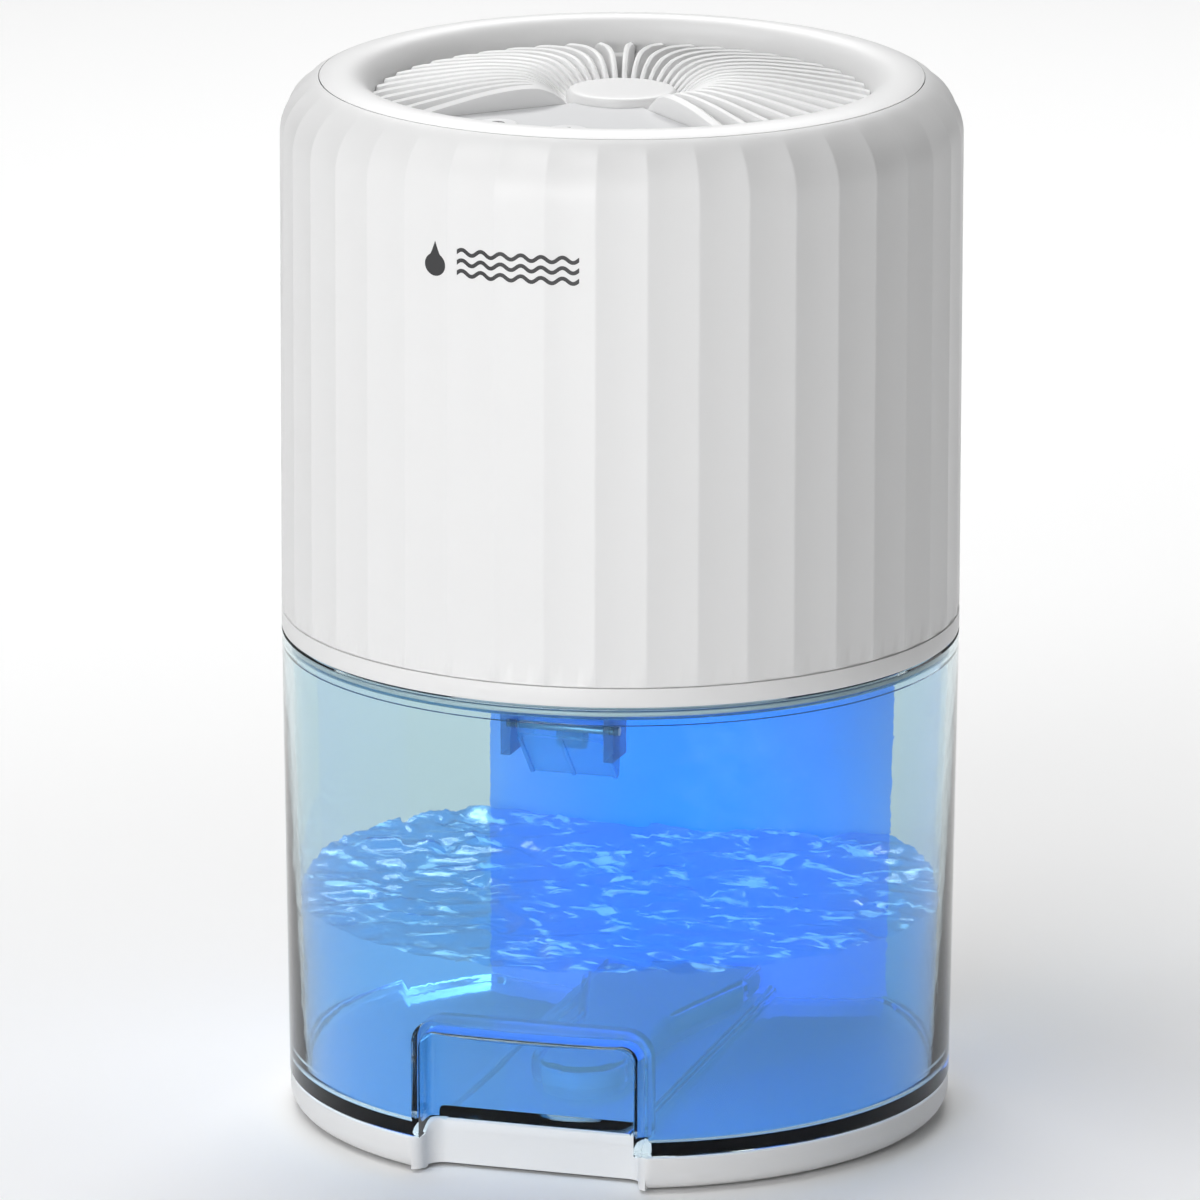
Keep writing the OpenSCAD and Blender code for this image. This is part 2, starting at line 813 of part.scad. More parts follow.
module outlet_grille() {
    span = 360 - panel_angle;
    gaps = span / vane_pitch;
    color(housing_white) {
        translate([0, 0, grille_base]) ring(cap_r, cap_stem_r, hub_top - grille_base);
        for (i = [1 : gaps - 1]) rotate(-90 + panel_angle / 2 + i * vane_pitch) vane(vane_t);
        for (side = [-1, 1]) rotate(-90 + side * panel_angle / 2) vane(end_wall_t);
        difference() {
            translate([0, 0, grille_base])
                ring(grille_r, grille_r - grille_ring_w, grille_ring_top - grille_base);
            front_wedge(far * 2);
        }
    }
}

module grille_cap() {
    color(housing_white) {
        rotate_extrude() {
            translate([0, hub_top]) square([cap_r, cap_top - cap_round - hub_top]);
            translate([0, hub_top]) square([cap_r - cap_round, cap_top - hub_top]);
            intersection() {
                translate([cap_r - cap_round, cap_top - cap_round]) circle(r = cap_round);
                translate([cap_r - cap_round - cut, hub_top])
                    square([cap_round + cut, cap_top - hub_top]);
            }
        }
        translate([0, 0, grille_base + 1]) cylinder(r = cap_stem_r, h = hub_top - grille_base);
    }
}

module control_panel() {
    hole_r = button_d / 2 + 0.3;
    color(panel_grey) difference() {
        union() {
            intersection() {
                union() {
                    translate([0, 0, panel_z - panel_t]) ring(grille_r, cap_r + 0.05, panel_t);
                    translate([0, 0, grille_base]) ring(grille_r, grille_r - 1.8, panel_z - grille_base);
                }
                front_wedge(far * 2);
            }
            for (p = post_at) translate([p[0], p[1], board_high])
                cylinder(r = post_r, h = panel_z - panel_t - board_high + cut);
        }
        for (p = button_places) translate([p[0], p[1], panel_z - panel_t - 1]) cylinder(r = hole_r, h = far);
    }
}

module control_board() {
    color(board_green) intersection() {
        translate([0, 0, board_low]) ring(board_edge_r, cap_r + 5, board_high - board_low);
        front_wedge(far * 2);
    }
}

module tact_switches() {
    half = switch_size / 2;
    color(steel_grey) for (p = button_places) translate([p[0], p[1], board_high]) {
        block([-half, -half, 0], [half, half, switch_h]);
        translate([0, 0, switch_h - cut]) cylinder(r = 1.7, h = plunger_h + cut);
    }
}

// One button: a round cap with a flange that keeps it under the panel
module button(place) {
    cap_radius = button_d / 2;
    edge = 0.5;
    color(housing_white) translate([place[0], place[1], 0]) {
        translate([0, 0, button_bottom]) cylinder(r = 2.2, h = button_flange_top - 1 - button_bottom + cut);
        translate([0, 0, button_flange_top - 1]) cylinder(r = cap_radius + 1.2, h = 1);
        translate([0, 0, button_flange_top - cut])
            cylinder(r = cap_radius, h = panel_z + button_proud - edge - button_flange_top + cut);
        translate([0, 0, panel_z + button_proud - edge])
            cylinder(r1 = cap_radius, r2 = cap_radius - edge, h = edge);
    }
}

module button_sleep() { button(button_places[0]); }
module button_mode() { button(button_places[1]); }
module button_power() { button(button_places[2]); }

// ---------- tank ----------

module tank_cone(inset, low, high) {
    slope = (tank_rim_r - tank_foot_r) / (tank_rim_z - tank_foot_z);
    difference() {
        translate([0, 0, low]) cylinder(
            r1 = tank_foot_r - inset + slope * (low - tank_foot_z),
            r2 = tank_foot_r - inset + slope * (high - tank_foot_z),
            h = high - low);
        translate([0, 0, low - cut]) linear_extrude(high - low + 2 * cut) bay_face(tank_face_gap + inset);
    }
}

// The way under the tank that the base ring's lip takes as the tank slides, grown by grow
module lip_way(grow) {
    block([-lip_way_half_w - grow, pocket_back_y - cut, -cut],
        [lip_way_half_w + grow, far, lip_way_z + grow]);
}

module tank_shell() {
    color(clear_blue) difference() {
        tank_cone(0, tank_foot_z, tank_rim_z);
        difference() {
            tank_cone(tank_wall, tank_floor_z, tank_rim_z + 1);
            pocket_space(tank_wall);
            linear_extrude(tongue_top + tunnel_gap + 1.8) tongue_plan(tunnel_gap + 1.8);
            translate([0, 0, lid_z - ledge_h]) linear_extrude(ledge_h) difference() {
                tank_plan(0);
                tank_plan(tank_wall + ledge_w);
            }
            lip_way(tank_wall);
        }
        pocket_space(0);
        linear_extrude(tongue_top + tunnel_gap) tongue_plan(tunnel_gap);
        lip_way(0);
    }
}

module tank_lid() {
    color(clear_blue) {
        difference() {
            union() {
                translate([0, 0, lid_z]) linear_extrude(lid_plate_t) tank_plan(lid_inset);
                translate([0, 0, lid_z]) linear_extrude(lid_top_z - lid_z) difference() {
                    tank_plan(lid_inset);
                    tank_plan(lid_inset + 3);
                }
                translate([0, drip_y, lid_z - inlet_drop])
                    cylinder(r = inlet_r + 1.5, h = inlet_drop + lid_plate_t);
            }
            translate([0, drip_y, 0]) cylinder(r = inlet_r, h = far);
            translate([plug_at[0], plug_at[1], 0]) cylinder(r = plug_r, h = far);
            translate([0, 0, seal_z]) linear_extrude(seal_h) difference() {
                tank_plan(0);
                tank_plan(seal_inset + seal_w);
            }
        }
        for (x = [-lug_x - lug_t, lug_x]) difference() {
            block([x, pin_y - lug_half_depth, lug_low], [x + lug_t, pin_y + lug_half_depth, lid_z + cut]);
            translate([0, pin_y, pin_z]) rotate([0, 90, 0]) cylinder(r = pin_r, h = far, center = true);
        }
    }
}

module lid_seal() {
    color(soft_black) translate([0, 0, seal_z]) linear_extrude(seal_h) difference() {
        tank_plan(seal_inset);
        tank_plan(seal_inset + seal_w);
    }
}

module pour_plug() {
    color([0.85, 0.88, 0.9]) translate([plug_at[0], plug_at[1], 0]) difference() {
        union() {
            translate([0, 0, lid_z - 2]) cylinder(r = plug_r, h = lid_top_z - lid_z + 1.4);
            translate([0, 0, lid_z + lid_plate_t]) cylinder(r = plug_r + 1.5, h = 0.7);
        }
        translate([0, 0, lid_z - 3]) cylinder(r = plug_r - 2, h = 3.4);
    }
}

module float_pin() {
    color(steel_grey) translate([0, pin_y, pin_z]) rotate([0, 90, 0])
        cylinder(r = pin_r, h = 2 * (lug_x + lug_t), center = true);
}

module float_box() {
    color(clear_blue) difference() {
        union() {
            translate([-float_half_w, 0, 0]) rotate([90, 0, 90]) linear_extrude(2 * float_half_w)
                polygon([float_nose, [pin_y - 2, pin_z - 2.2], float_toe, [float_toe[0] + 1.6, float_toe[1]],
                    float_heel, [pin_y, pin_z + 2.6]]);
            translate([0, pin_y, pin_z]) rotate([0, 90, 0])
                cylinder(r = barrel_r, h = 2 * float_half_w, center = true);
        }
        translate([0, pin_y, pin_z]) rotate([0, 90, 0])
            cylinder(r = pin_r + pin_clearance, h = far, center = true);
        translate([0, magnet_at[0], magnet_at[1]]) rotate([0, 90, 0])
            cylinder(r = magnet_half - 0.6, h = 2 * magnet_half, center = true);
    }
}

module float_magnet() {
    color([0.35, 0.35, 0.38]) translate([0, magnet_at[0], magnet_at[1]]) rotate([0, 90, 0])
        cylinder(r = magnet_half - 0.6, h = 2 * magnet_half, center = true);
}

base_pan();
rubber_feet();
base_screws();
rear_column();
light_diffuser();
led_strip();
power_board();
dc_jack();
bottom_cover();
housing_screws();
condensate_tray();
drip_nozzle();
reed_switch();
body_shell();
intake_filter();
chassis_plate();
hot_heatsink();
peltier_module();
insulation_frame();
cold_sink();
clamp_screws();
fan_frame();
fan_stator();
fan_bearings();
fan_screws();
top_ring();
outlet_grille();
grille_cap();
control_panel();
control_board();
tact_switches();
button_sleep();
button_mode();
button_power();
fan_impeller();
rotor_magnet();
fan_shaft();
tank_shell();
tank_lid();
lid_seal();
pour_plug();
float_pin();
float_box();
float_magnet();
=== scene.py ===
# Looks for the desktop dehumidifier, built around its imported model. All sizes below are in mm.
import json
import math

import bmesh
import bpy
from mathutils import Matrix, Vector, noise


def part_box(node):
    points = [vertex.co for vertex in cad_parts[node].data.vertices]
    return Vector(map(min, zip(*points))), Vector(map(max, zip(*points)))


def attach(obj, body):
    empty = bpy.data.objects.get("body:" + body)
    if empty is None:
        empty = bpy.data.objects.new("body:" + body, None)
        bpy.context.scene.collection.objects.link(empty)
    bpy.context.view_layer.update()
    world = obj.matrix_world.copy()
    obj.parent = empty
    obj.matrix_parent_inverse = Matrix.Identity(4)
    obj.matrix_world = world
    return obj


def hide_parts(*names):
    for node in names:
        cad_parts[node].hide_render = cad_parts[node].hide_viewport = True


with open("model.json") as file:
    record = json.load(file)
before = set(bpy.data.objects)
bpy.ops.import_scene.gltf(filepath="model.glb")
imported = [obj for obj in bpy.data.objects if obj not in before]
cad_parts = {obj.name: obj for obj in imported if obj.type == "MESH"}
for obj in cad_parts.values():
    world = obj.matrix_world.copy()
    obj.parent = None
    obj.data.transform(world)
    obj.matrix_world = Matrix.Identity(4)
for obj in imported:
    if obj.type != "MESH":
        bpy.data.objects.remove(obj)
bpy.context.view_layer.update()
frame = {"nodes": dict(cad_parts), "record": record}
nodes = frame["nodes"]
MM = 0.001


def low(node):
    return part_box(node)[0] / MM


def high(node):
    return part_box(node)[1] / MM


# ---------- sizes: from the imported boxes, and the design's own where no box gives them ----------
TOP = high("top_ring").z
BODY_R = high("bottom_cover").x
COLLAR_LOW = low("bottom_cover").z
COLLAR_TOP = high("bottom_cover").z
BASE_R = high("base_pan").x
BASE_LOW = low("base_pan").z
TANK_FOOT = low("tank_shell").z
TANK_RIM = high("tank_shell").z
BASE_TOP = TANK_FOOT - 0.3
BAY_Y = low("light_diffuser").y
CAP_TOP = high("grille_cap").z
CAP_R = high("grille_cap").x
PANEL_Z = high("control_panel").z
LID_Z = high("tank_lid").z - 2.6
GRILLE_R = high("outlet_grille").x
HUB_LOW = low("fan_impeller").z
HUB_TOP = high("fan_impeller").z
BLADE_TIP = high("fan_impeller").x

FLUTES = 42
FLUTE_AT = (0, 0.035, 0.15, 0.3, 0.4, 0.5, 0.6, 0.7, 0.85, 0.965)
FLUTE_STEPS = len(FLUTE_AT)
FLUTE_DEPTH = 0.42
FLUTE_ROUND = 75
SHOULDER_R = 14
SHOULDER_C = BODY_R - SHOULDER_R
SHOULDER_Z = TOP - SHOULDER_R
SEAM_ANGLE = math.degrees(math.acos((66.4 - SHOULDER_C) / SHOULDER_R))
SLOT_LOW, SLOT_HIGH, SLOT_COUNT = 128, 180, 9
SHELL_INNER = BODY_R - 3
LIP_R = 6.2
OPENING_R = 54.8
LEDGE_LOW, LEDGE_TOP = 220.5, 222

POCKET_HALF = 24.6
POCKET_BACK = -60.4
POCKET_TOP = BASE_TOP + 25
POCKET_ROUND = 4
TANK_FOOT_R, TANK_RIM_R = 73.6, 75
TANK_WALL = 2.2
TANK_FLOOR = 10.9
TONGUE_TOP = 16
TUNNEL_WALL = 2.3
LIP_WAY_HALF = 21.1
LIP_WAY_TOP = BASE_TOP + 2.9
BAY_R = 148.6
BAY_C = BAY_Y + BAY_R
FACE_GAP = 0.6
WATER_Z = 50
PIN_Y, PIN_Z = -42, 97
FLOAT_HALF = 9.9
BARREL_R = 2.8


# ---------- mesh helpers ----------
def link(name, mesh):
    o = bpy.data.objects.new(name, mesh)
    bpy.context.scene.collection.objects.link(o)
    return o


def make(name, points, faces):
    mesh = bpy.data.meshes.new(name)
    mesh.from_pydata([(x * MM, y * MM, z * MM) for x, y, z in points], [], faces)
    mesh.validate()
    mesh.update()
    return link(name, mesh)


def smooth(o, angle=32):
    o.data.shade_smooth()
    o.data.set_sharp_from_angle(angle=math.radians(angle))
    return o


def apply_all(o):
    graph = bpy.context.evaluated_depsgraph_get()
    mesh = bpy.data.meshes.new_from_object(o.evaluated_get(graph))
    o.modifiers.clear()
    old = o.data
    o.data = mesh
    bpy.data.meshes.remove(old)
    return o


def combine(o, other, how="DIFFERENCE"):
    m = o.modifiers.new("combine", "BOOLEAN")
    m.object, m.operation, m.solver = other, how, "EXACT"
    apply_all(o)
    bpy.data.objects.remove(other)
    return o


def bevel(o, width, segments=2, angle=32):
    m = o.modifiers.new("bevel", "BEVEL")
    m.width, m.segments = width * MM, segments
    m.limit_method, m.angle_limit = "ANGLE", math.radians(angle)
    return apply_all(o)


def arc(cx, cy, r, a0, a1, n):
    """Points on a circle from angle a0 to a1, in degrees, both ends included."""
    return [(cx + r * math.cos(math.radians(a0 + (a1 - a0) * i / n)),
             cy + r * math.sin(math.radians(a0 + (a1 - a0) * i / n))) for i in range(n + 1)]


def rounded(corners, n=4):
    """A closed outline from (x, y, radius) corners, each rounded."""
    out = []
    for i, (x, y, r) in enumerate(corners):
        p = Vector((x, y))
        a = Vector(corners[i - 1][:2]) - p
        b = Vector(corners[(i + 1) % len(corners)][:2]) - p
        if r <= 0:
            out.append((x, y))
            continue
        a.normalize(), b.normalize()
        half = a.angle(b) / 2
        reach = r / math.tan(half)
        centre = p + (a + b).normalized() * r / math.sin(half)
        start, end = p + a * reach - centre, p + b * reach - centre
        turn = start.angle_signed(end)
        for k in range(n + 1):
            q = start.copy()
            q.rotate(Matrix.Rotation(-turn * k / n, 2))
            out.append(tuple(centre + q))
    return out


def prism(name, outline, z0, z1, axis="z"):
    """An outline pushed from z0 to z1; axis x or y turns the outline into the YZ or XZ plane."""
    n = len(outline)
    place = {"z": lambda u, v, w: (u, v, w), "x": lambda u, v, w: (w, u, v),
             "y": lambda u, v, w: (u, w, v)}[axis]
    points = [place(u, v, w) for w in (z0, z1) for u, v in outline]
    faces = [list(range(n))[::-1], list(range(n, 2 * n))]
    faces += [[i, (i + 1) % n, n + (i + 1) % n, n + i] for i in range(n)]
    return outward(make(name, points, faces))


def outward(o):
    b = bmesh.new()
    b.from_mesh(o.data)
    bmesh.ops.remove_doubles(b, verts=b.verts, dist=1e-7)
    bmesh.ops.recalc_face_normals(b, faces=b.faces)
    b.to_mesh(o.data)
    b.free()
    return o


def block(name, a, b):
    return prism(name, [(a[0], a[1]), (b[0], a[1]), (b[0], b[1]), (a[0], b[1])], a[2], b[2])


def revolve(name, profile, n=240, a0=0.0, a1=360.0):
    """A closed (r, z) profile turned about Z. Part turns are capped."""
    full = abs(a1 - a0) >= 359.99
    cols = n if full else n + 1
    m = len(profile)
    points = []
    for i in range(cols):
        a = math.radians(a0 + (a1 - a0) * i / n)
        points += [(r * math.cos(a), r * math.sin(a), z) for r, z in profile]
    faces = []
    for i in range(n):
        j = (i + 1) % cols
        faces += [[i * m + k, j * m + k, j * m + (k + 1) % m, i * m + (k + 1) % m] for k in range(m)]
    if not full:
        faces += [list(range(m)), [(cols - 1) * m + k for k in range(m)][::-1]]
    return outward(make(name, points, faces))


def loft(name, rings):
    """A solid through rings of equal point counts, capped at both ends."""
    n = len(rings[0])
    points = [p for ring in rings for p in ring]
    faces = [list(range(n))[::-1], [(len(rings) - 1) * n + i for i in range(n)]]
    for k in range(len(rings) - 1):
        faces += [[k * n + i, k * n + (i + 1) % n, (k + 1) * n + (i + 1) % n, (k + 1) * n + i]
                  for i in range(n)]
    return outward(make(name, points, faces))


def disc(name, x, y, r, z0, z1, n=48):
    return prism(name, arc(x, y, r, 0, 360 * (n - 1) / n, n - 1), z0, z1)


def mix(a, b, t):
    return a + (b - a) * t


def ease(a, b, x):
    t = min(max((x - a) / (b - a), 0), 1)
    return t * t * (3 - 2 * t)


# ---------- materials ----------
PLASTIC_PATCH = 18
ROUGH_VARY = 0.05
# size of the painted light streaks on the water
PAINTED_STREAK_SIZE = 6
# painted glow: how strongly the water glows, standing in for the lamp's light scattered in it
WATER_PAINTED_GLOW = 1.25


def shader(name):
    m = bpy.data.materials.new(name)
    m.use_nodes = True
    t = m.node_tree
    return m, t, t.nodes["Principled BSDF"], t.nodes["Material Output"]


def node(t, kind, **values):
    n = t.nodes.new("ShaderNode" + kind)
    for key, value in values.items():
        if hasattr(n, key):
            setattr(n, key, value)
        else:
            n.inputs[key.replace("_", " ")].default_value = value
    return n


def fields(t, grain, patch):
    """Two noises in object space: a fine one, grain mm wide, and a broad one, patch mm wide."""
    at = node(t, "TexCoord").outputs["Object"]
    fine = node(t, "TexNoise", Scale=1 / (grain * MM), Detail=3.0, Roughness=0.6)
    broad = node(t, "TexNoise", Scale=1 / (patch * MM), Detail=2.0, Roughness=0.5)
    t.links.new(at, fine.inputs["Vector"])
    t.links.new(at, broad.inputs["Vector"])
    return at, fine.outputs["Fac"], broad.outputs["Fac"]


def spread(t, value, a, b):
    r = node(t, "MapRange")
    r.inputs["To Min"].default_value, r.inputs["To Max"].default_value = a, b
    t.links.new(value, r.inputs["Value"])
    return r.outputs["Result"]


def smoothstep(t, value, from_low, from_high, to_low, to_high):
    """A range mapped with soft ends."""
    r = node(t, "MapRange", interpolation_type="SMOOTHSTEP")
    t.links.new(value, r.inputs["Value"])
    for key, number in (("From Min", from_low), ("From Max", from_high),
                        ("To Min", to_low), ("To Max", to_high)):
        r.inputs[key].default_value = number
    return r.outputs["Result"]


def maths(t, operation, a, b=None, clamp=False):
    """A maths node whose inputs are sockets or plain numbers."""
    n = node(t, "Math", operation=operation, use_clamp=clamp)
    for i, value in enumerate((a, b)):
        if isinstance(value, bpy.types.NodeSocket):
            t.links.new(value, n.inputs[i])
        elif value is not None:
            n.inputs[i].default_value = value
    return n.outputs["Value"]


def axis_of(t, vector, axis):
    n = node(t, "SeparateXYZ")
    t.links.new(vector, n.inputs["Vector"])
    return n.outputs[axis]


def blend(t, factor, a, b):
    """Two shaders mixed by factor, from a to b."""
    n = node(t, "MixShader")
    for i, value in enumerate((factor, a, b)):
        t.links.new(value, n.inputs[i])
    return n.outputs["Shader"]


def grained(t, p, height, depth):
    """Fine relief, depth mm deep, on the shader's normal."""
    b = node(t, "Bump", Strength=1.0, Distance=depth * MM)
    t.links.new(height, b.inputs["Height"])
    t.links.new(b.outputs["Normal"], p.inputs["Normal"])
    return b.outputs["Normal"]


def tint(t, factor, a, b):
    m = node(t, "Mix", data_type="RGBA")
    t.links.new(factor, m.inputs["Factor"])
    m.inputs[6].default_value, m.inputs[7].default_value = (*a, 1), (*b, 1)
    return m.outputs[2]


def moulded(name, colour, rough=0.4, grain=0.3, bump=0.003, vary=0.02, metal=0.0, gloss=0.5):
    """Moulded plastic, rubber, metal or board: fine grain, soft mottling and uneven gloss."""
    m, t, p, out = shader(name)
    at, fine, broad = fields(t, grain, PLASTIC_PATCH)
    darker = [c * (1 - vary) for c in colour]
    lighter = [min(c * (1 + vary), 1) for c in colour]
    t.links.new(tint(t, broad, darker, lighter), p.inputs["Base Color"])
    t.links.new(spread(t, fine, rough - ROUGH_VARY, rough + ROUGH_VARY), p.inputs["Roughness"])
    grained(t, p, fine, bump)
    p.inputs["Metallic"].default_value = metal
    p.inputs["Specular IOR Level"].default_value = gloss
    return m


def clear(name, colour, ior, through, rough=0.02, wave=0.02):
    """Clear plastic that bends light, and lets lamp light through to what is inside."""
    m, t, p, out = shader(name)
    at, fine, broad = fields(t, 6, 25)
    p.inputs["Base Color"].default_value = (*colour, 1)
    p.inputs["Transmission Weight"].default_value = 1
    p.inputs["IOR"].default_value = ior
    t.links.new(spread(t, broad, rough * 0.5, rough * 1.5), p.inputs["Roughness"])
    grained(t, p, fine, wave)
    shadow_ray = node(t, "LightPath").outputs["Is Shadow Ray"]
    clear_ray = node(t, "BsdfTransparent", Color=(*through, 1)).outputs["BSDF"]
    t.links.new(blend(t, shadow_ray, p.outputs["BSDF"], clear_ray), out.inputs["Surface"])
    return m


def watery(name, colour, through, body, painted_glow_colour, milky=0.12, wave=0.05, wave_size=3.0):
    """Water's skin: tinted and see-through, partly milky, with a painted glow in the lamp's colour standing
    in for its light scattered in the water, glossy at a low angle, and with painted light streaks, painted
    caustic highlights, on its upward surface near the waterline."""
    m, t, p, out = shader(name)
    at, fine, broad = fields(t, wave_size, 25)
    t.links.new(tint(t, broad, [c * 0.9 for c in body], body), p.inputs["Base Color"])
    t.links.new(spread(t, broad, 0.05, 0.15), p.inputs["Roughness"])
    normal = grained(t, p, fine, wave)
    # painted glow in the lamp's colour, standing in for its light scattered in the water; it shows in the
    # milky share
    p.inputs["Emission Color"].default_value = (*painted_glow_colour, 1)
    p.inputs["Emission Strength"].default_value = WATER_PAINTED_GLOW
    see = node(t, "BsdfTransparent")
    shadow_ray = node(t, "LightPath").outputs["Is Shadow Ray"]
    t.links.new(tint(t, shadow_ray, colour, through), see.inputs["Color"])
    # painted light streaks, painted caustic highlights that glow, only on the upward surface near the
    # waterline
    stretch = node(t, "Mapping", Scale=(0.55, 1, 1))
    t.links.new(at, stretch.inputs["Vector"])
    painted_streak_noise = node(t, "TexNoise", Scale=1 / (PAINTED_STREAK_SIZE * MM), Detail=2.0, Roughness=0.55, Distortion=1.2)
    t.links.new(stretch.outputs["Vector"], painted_streak_noise.inputs["Vector"])
    light = smoothstep(t, painted_streak_noise.outputs["Fac"], 0.52, 0.70, 0.0, 0.5)
    on_top = maths(t, "GREATER_THAN", axis_of(t, at, "Z"), (WATER_Z - 6) * MM)
    facing = node(t, "NewGeometry")
    level = maths(t, "GREATER_THAN", axis_of(t, facing.outputs["Normal"], "Z"), 0.3)
    lit = maths(t, "MULTIPLY", light, maths(t, "MULTIPLY", on_top, level))
    # the milky share, with its painted glow, is raised where the painted light streaks fall
    haze = maths(t, "ADD", lit, milky, clamp=True)
    bulk = blend(t, haze, see.outputs["BSDF"], p.outputs["BSDF"])
    gloss = node(t, "BsdfGlossy", Roughness=0.03)
    t.links.new(normal, gloss.inputs["Normal"])
    fresnel = node(t, "Fresnel", IOR=1.4)
    t.links.new(normal, fresnel.inputs["Normal"])
    front = maths(t, "SUBTRACT", 1, facing.outputs["Backfacing"])
    shine = maths(t, "MULTIPLY", fresnel.outputs["Fac"], front, clamp=True)
    t.links.new(blend(t, shine, bulk, gloss.outputs["BSDF"]), out.inputs["Surface"])
    return m


def hazy(name, colour, body, haze, rough=0.35):
    """Tinted plastic that is partly see-through and partly milky."""
    m, t, p, out = shader(name)
    at, fine, broad = fields(t, 0.6, 20)
    t.links.new(tint(t, broad, [c * 0.94 for c in body], body), p.inputs["Base Color"])
    t.links.new(spread(t, fine, rough - 0.08, rough + 0.08), p.inputs["Roughness"])
    normal = grained(t, p, fine, 0.004)
    see = node(t, "BsdfTransparent", Color=(*colour, 1))
    edge = node(t, "LayerWeight", Blend=0.4)
    t.links.new(normal, edge.inputs["Normal"])
    thick = spread(t, edge.outputs["Facing"], haze, min(haze * 2.2, 0.9))
    t.links.new(blend(t, thick, see.outputs["BSDF"], p.outputs["BSDF"]), out.inputs["Surface"])
    return m


def glowing(name, colour, strength):
    """The lit diffuser: milky blue plastic, brightest in the middle, dimmer towards its edges."""
    m, t, p, out = shader(name)
    at, fine, broad = fields(t, 0.5, 14)
    across = smoothstep(t, maths(t, "ABSOLUTE", axis_of(t, at, "X")), 0.0, 60 * MM, 1.0, 0.35)
    power = maths(t, "MULTIPLY", across, spread(t, broad, strength * 0.9, strength * 1.1))
    t.links.new(tint(t, across, (0.45, 0.60, 0.75), (0.06, 0.22, 0.6)), p.inputs["Base Color"])
    t.links.new(spread(t, fine, 0.35, 0.5), p.inputs["Roughness"])
    p.inputs["Emission Color"].default_value = (*colour, 1)
    t.links.new(power, p.inputs["Emission Strength"])
    grained(t, p, fine, 0.01)
    return m


WHITE = (0.80, 0.80, 0.80)
look = {
    "housing_white": moulded("white_shell", WHITE, rough=0.42, vary=0.008),
    "grille_white": moulded("white_grille", (0.92, 0.92, 0.92), rough=0.45, vary=0.008),
    "rim_white": moulded("white_rim", (0.81, 0.81, 0.81), rough=0.42, vary=0.008),
    "panel_grey": moulded("grey_panel", (0.62, 0.625, 0.635), rough=0.5, vary=0.012),
    "button_white": moulded("white_button", (0.82, 0.82, 0.83), rough=0.35, vary=0.008),
    "clear_tank": clear("clear_blue_tank", (0.69, 0.82, 0.85), ior=1.3, through=(0.93, 0.955, 0.965)),
    "clear_lid": hazy("clear_blue_lid", (0.55, 0.74, 0.88), (0.12, 0.34, 0.56), haze=0.22),
    "lit_diffuser": glowing("lit_diffuser", (0.0, 0.20, 1.0), 1.4),
    "led_board": moulded("lamp_board", (0.75, 0.76, 0.74), rough=0.35),
    "circuit_board": moulded("green_board", (0.03, 0.16, 0.08), rough=0.35, grain=1.2, vary=0.15),
    "black_plastic": moulded("black_plastic", (0.025, 0.025, 0.028), rough=0.4, vary=0.1),
    "tray_plastic": moulded("tray_plastic", (0.62, 0.63, 0.64), rough=0.4),
    "soft_rubber": moulded("rubber", (0.03, 0.03, 0.032), rough=0.75, grain=0.5, bump=0.01, vary=0.12,
                           gloss=0.3),
    "silicone": moulded("silicone", (0.45, 0.48, 0.50), rough=0.5, vary=0.04),
    "screw_steel": moulded("screw_steel", (0.55, 0.55, 0.56), rough=0.3, metal=1.0, grain=0.4, vary=0.05),
    "alloy": moulded("alloy", (0.68, 0.69, 0.70), rough=0.38, metal=1.0, grain=0.5, vary=0.05),
    "module_ceramic": moulded("ceramic", (0.86, 0.85, 0.82), rough=0.6, vary=0.02),
    "foam": moulded("foam", (0.05, 0.05, 0.055), rough=0.9, grain=0.9, bump=0.08, vary=0.2, gloss=0.2),
    "copper_winding": moulded("copper", (0.72, 0.34, 0.14), rough=0.3, metal=1.0, grain=0.6, bump=0.03,
                              vary=0.08),
    "switch_metal": moulded("switch_metal", (0.5, 0.5, 0.5), rough=0.35, metal=0.8, vary=0.05),
    "magnet": moulded("coated_magnet", (0.10, 0.32, 0.72), rough=0.35, vary=0.08),
    "sensor_glass": moulded("sensor_glass", (0.35, 0.5, 0.42), rough=0.15, vary=0.05, gloss=0.6),
    "filter_mesh": moulded("filter_mesh", (0.06, 0.06, 0.065), rough=0.8, grain=0.8, bump=0.15,
                           vary=0.25),
    "print": moulded("dark_print", (0.035, 0.035, 0.037), rough=0.5, vary=0.08),
    # the last colour is the water's painted glow
    "water": watery("water", (0.38, 0.62, 0.93), (0.85, 0.93, 1.0), (0.60, 0.88, 1.0), (0.14, 0.48, 0.9)),
    "float_blue": hazy("float_blue", (0.55, 0.80, 0.98), (0.16, 0.55, 0.98), haze=0.25, rough=0.2),
}


def wear(o, name):
    o.data.materials.clear()
    o.data.materials.append(look[name])
    return o


def piece(o, body, slot, replaces=(), finish=None):
    wear(o, finish or slot)
    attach(o, body)
    if replaces:
        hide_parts(*replaces)
    return o


# ---------- camera and stage ----------
YAW = math.radians(17.1)
PITCH = math.radians(14.403)
FAR = 2700
EYE_Z = 808.6
FRAME_PX = 1200
FOCAL_PX = 12594.2
CENTRE_PX = 20.6
camera = bpy.data.objects.new("camera", bpy.data.cameras.new("camera"))
bpy.context.scene.collection.objects.link(camera)
camera.matrix_world = (
    Matrix.Translation(Vector((math.sin(YAW) * FAR, -math.cos(YAW) * FAR, EYE_Z)) * MM)
    @ Matrix.Rotation(YAW, 4, "Z")
    @ Matrix.Rotation(math.pi / 2 - PITCH, 4, "X")
    @ Matrix.Rotation(math.radians(0.147), 4, "Z")
)
camera.data.sensor_width = 36
camera.data.lens = FOCAL_PX / FRAME_PX * camera.data.sensor_width
camera.data.shift_x = -CENTRE_PX / FRAME_PX
camera.data.clip_end = 50
bpy.context.scene.camera = camera
bpy.context.scene.view_settings.view_transform = "Standard"

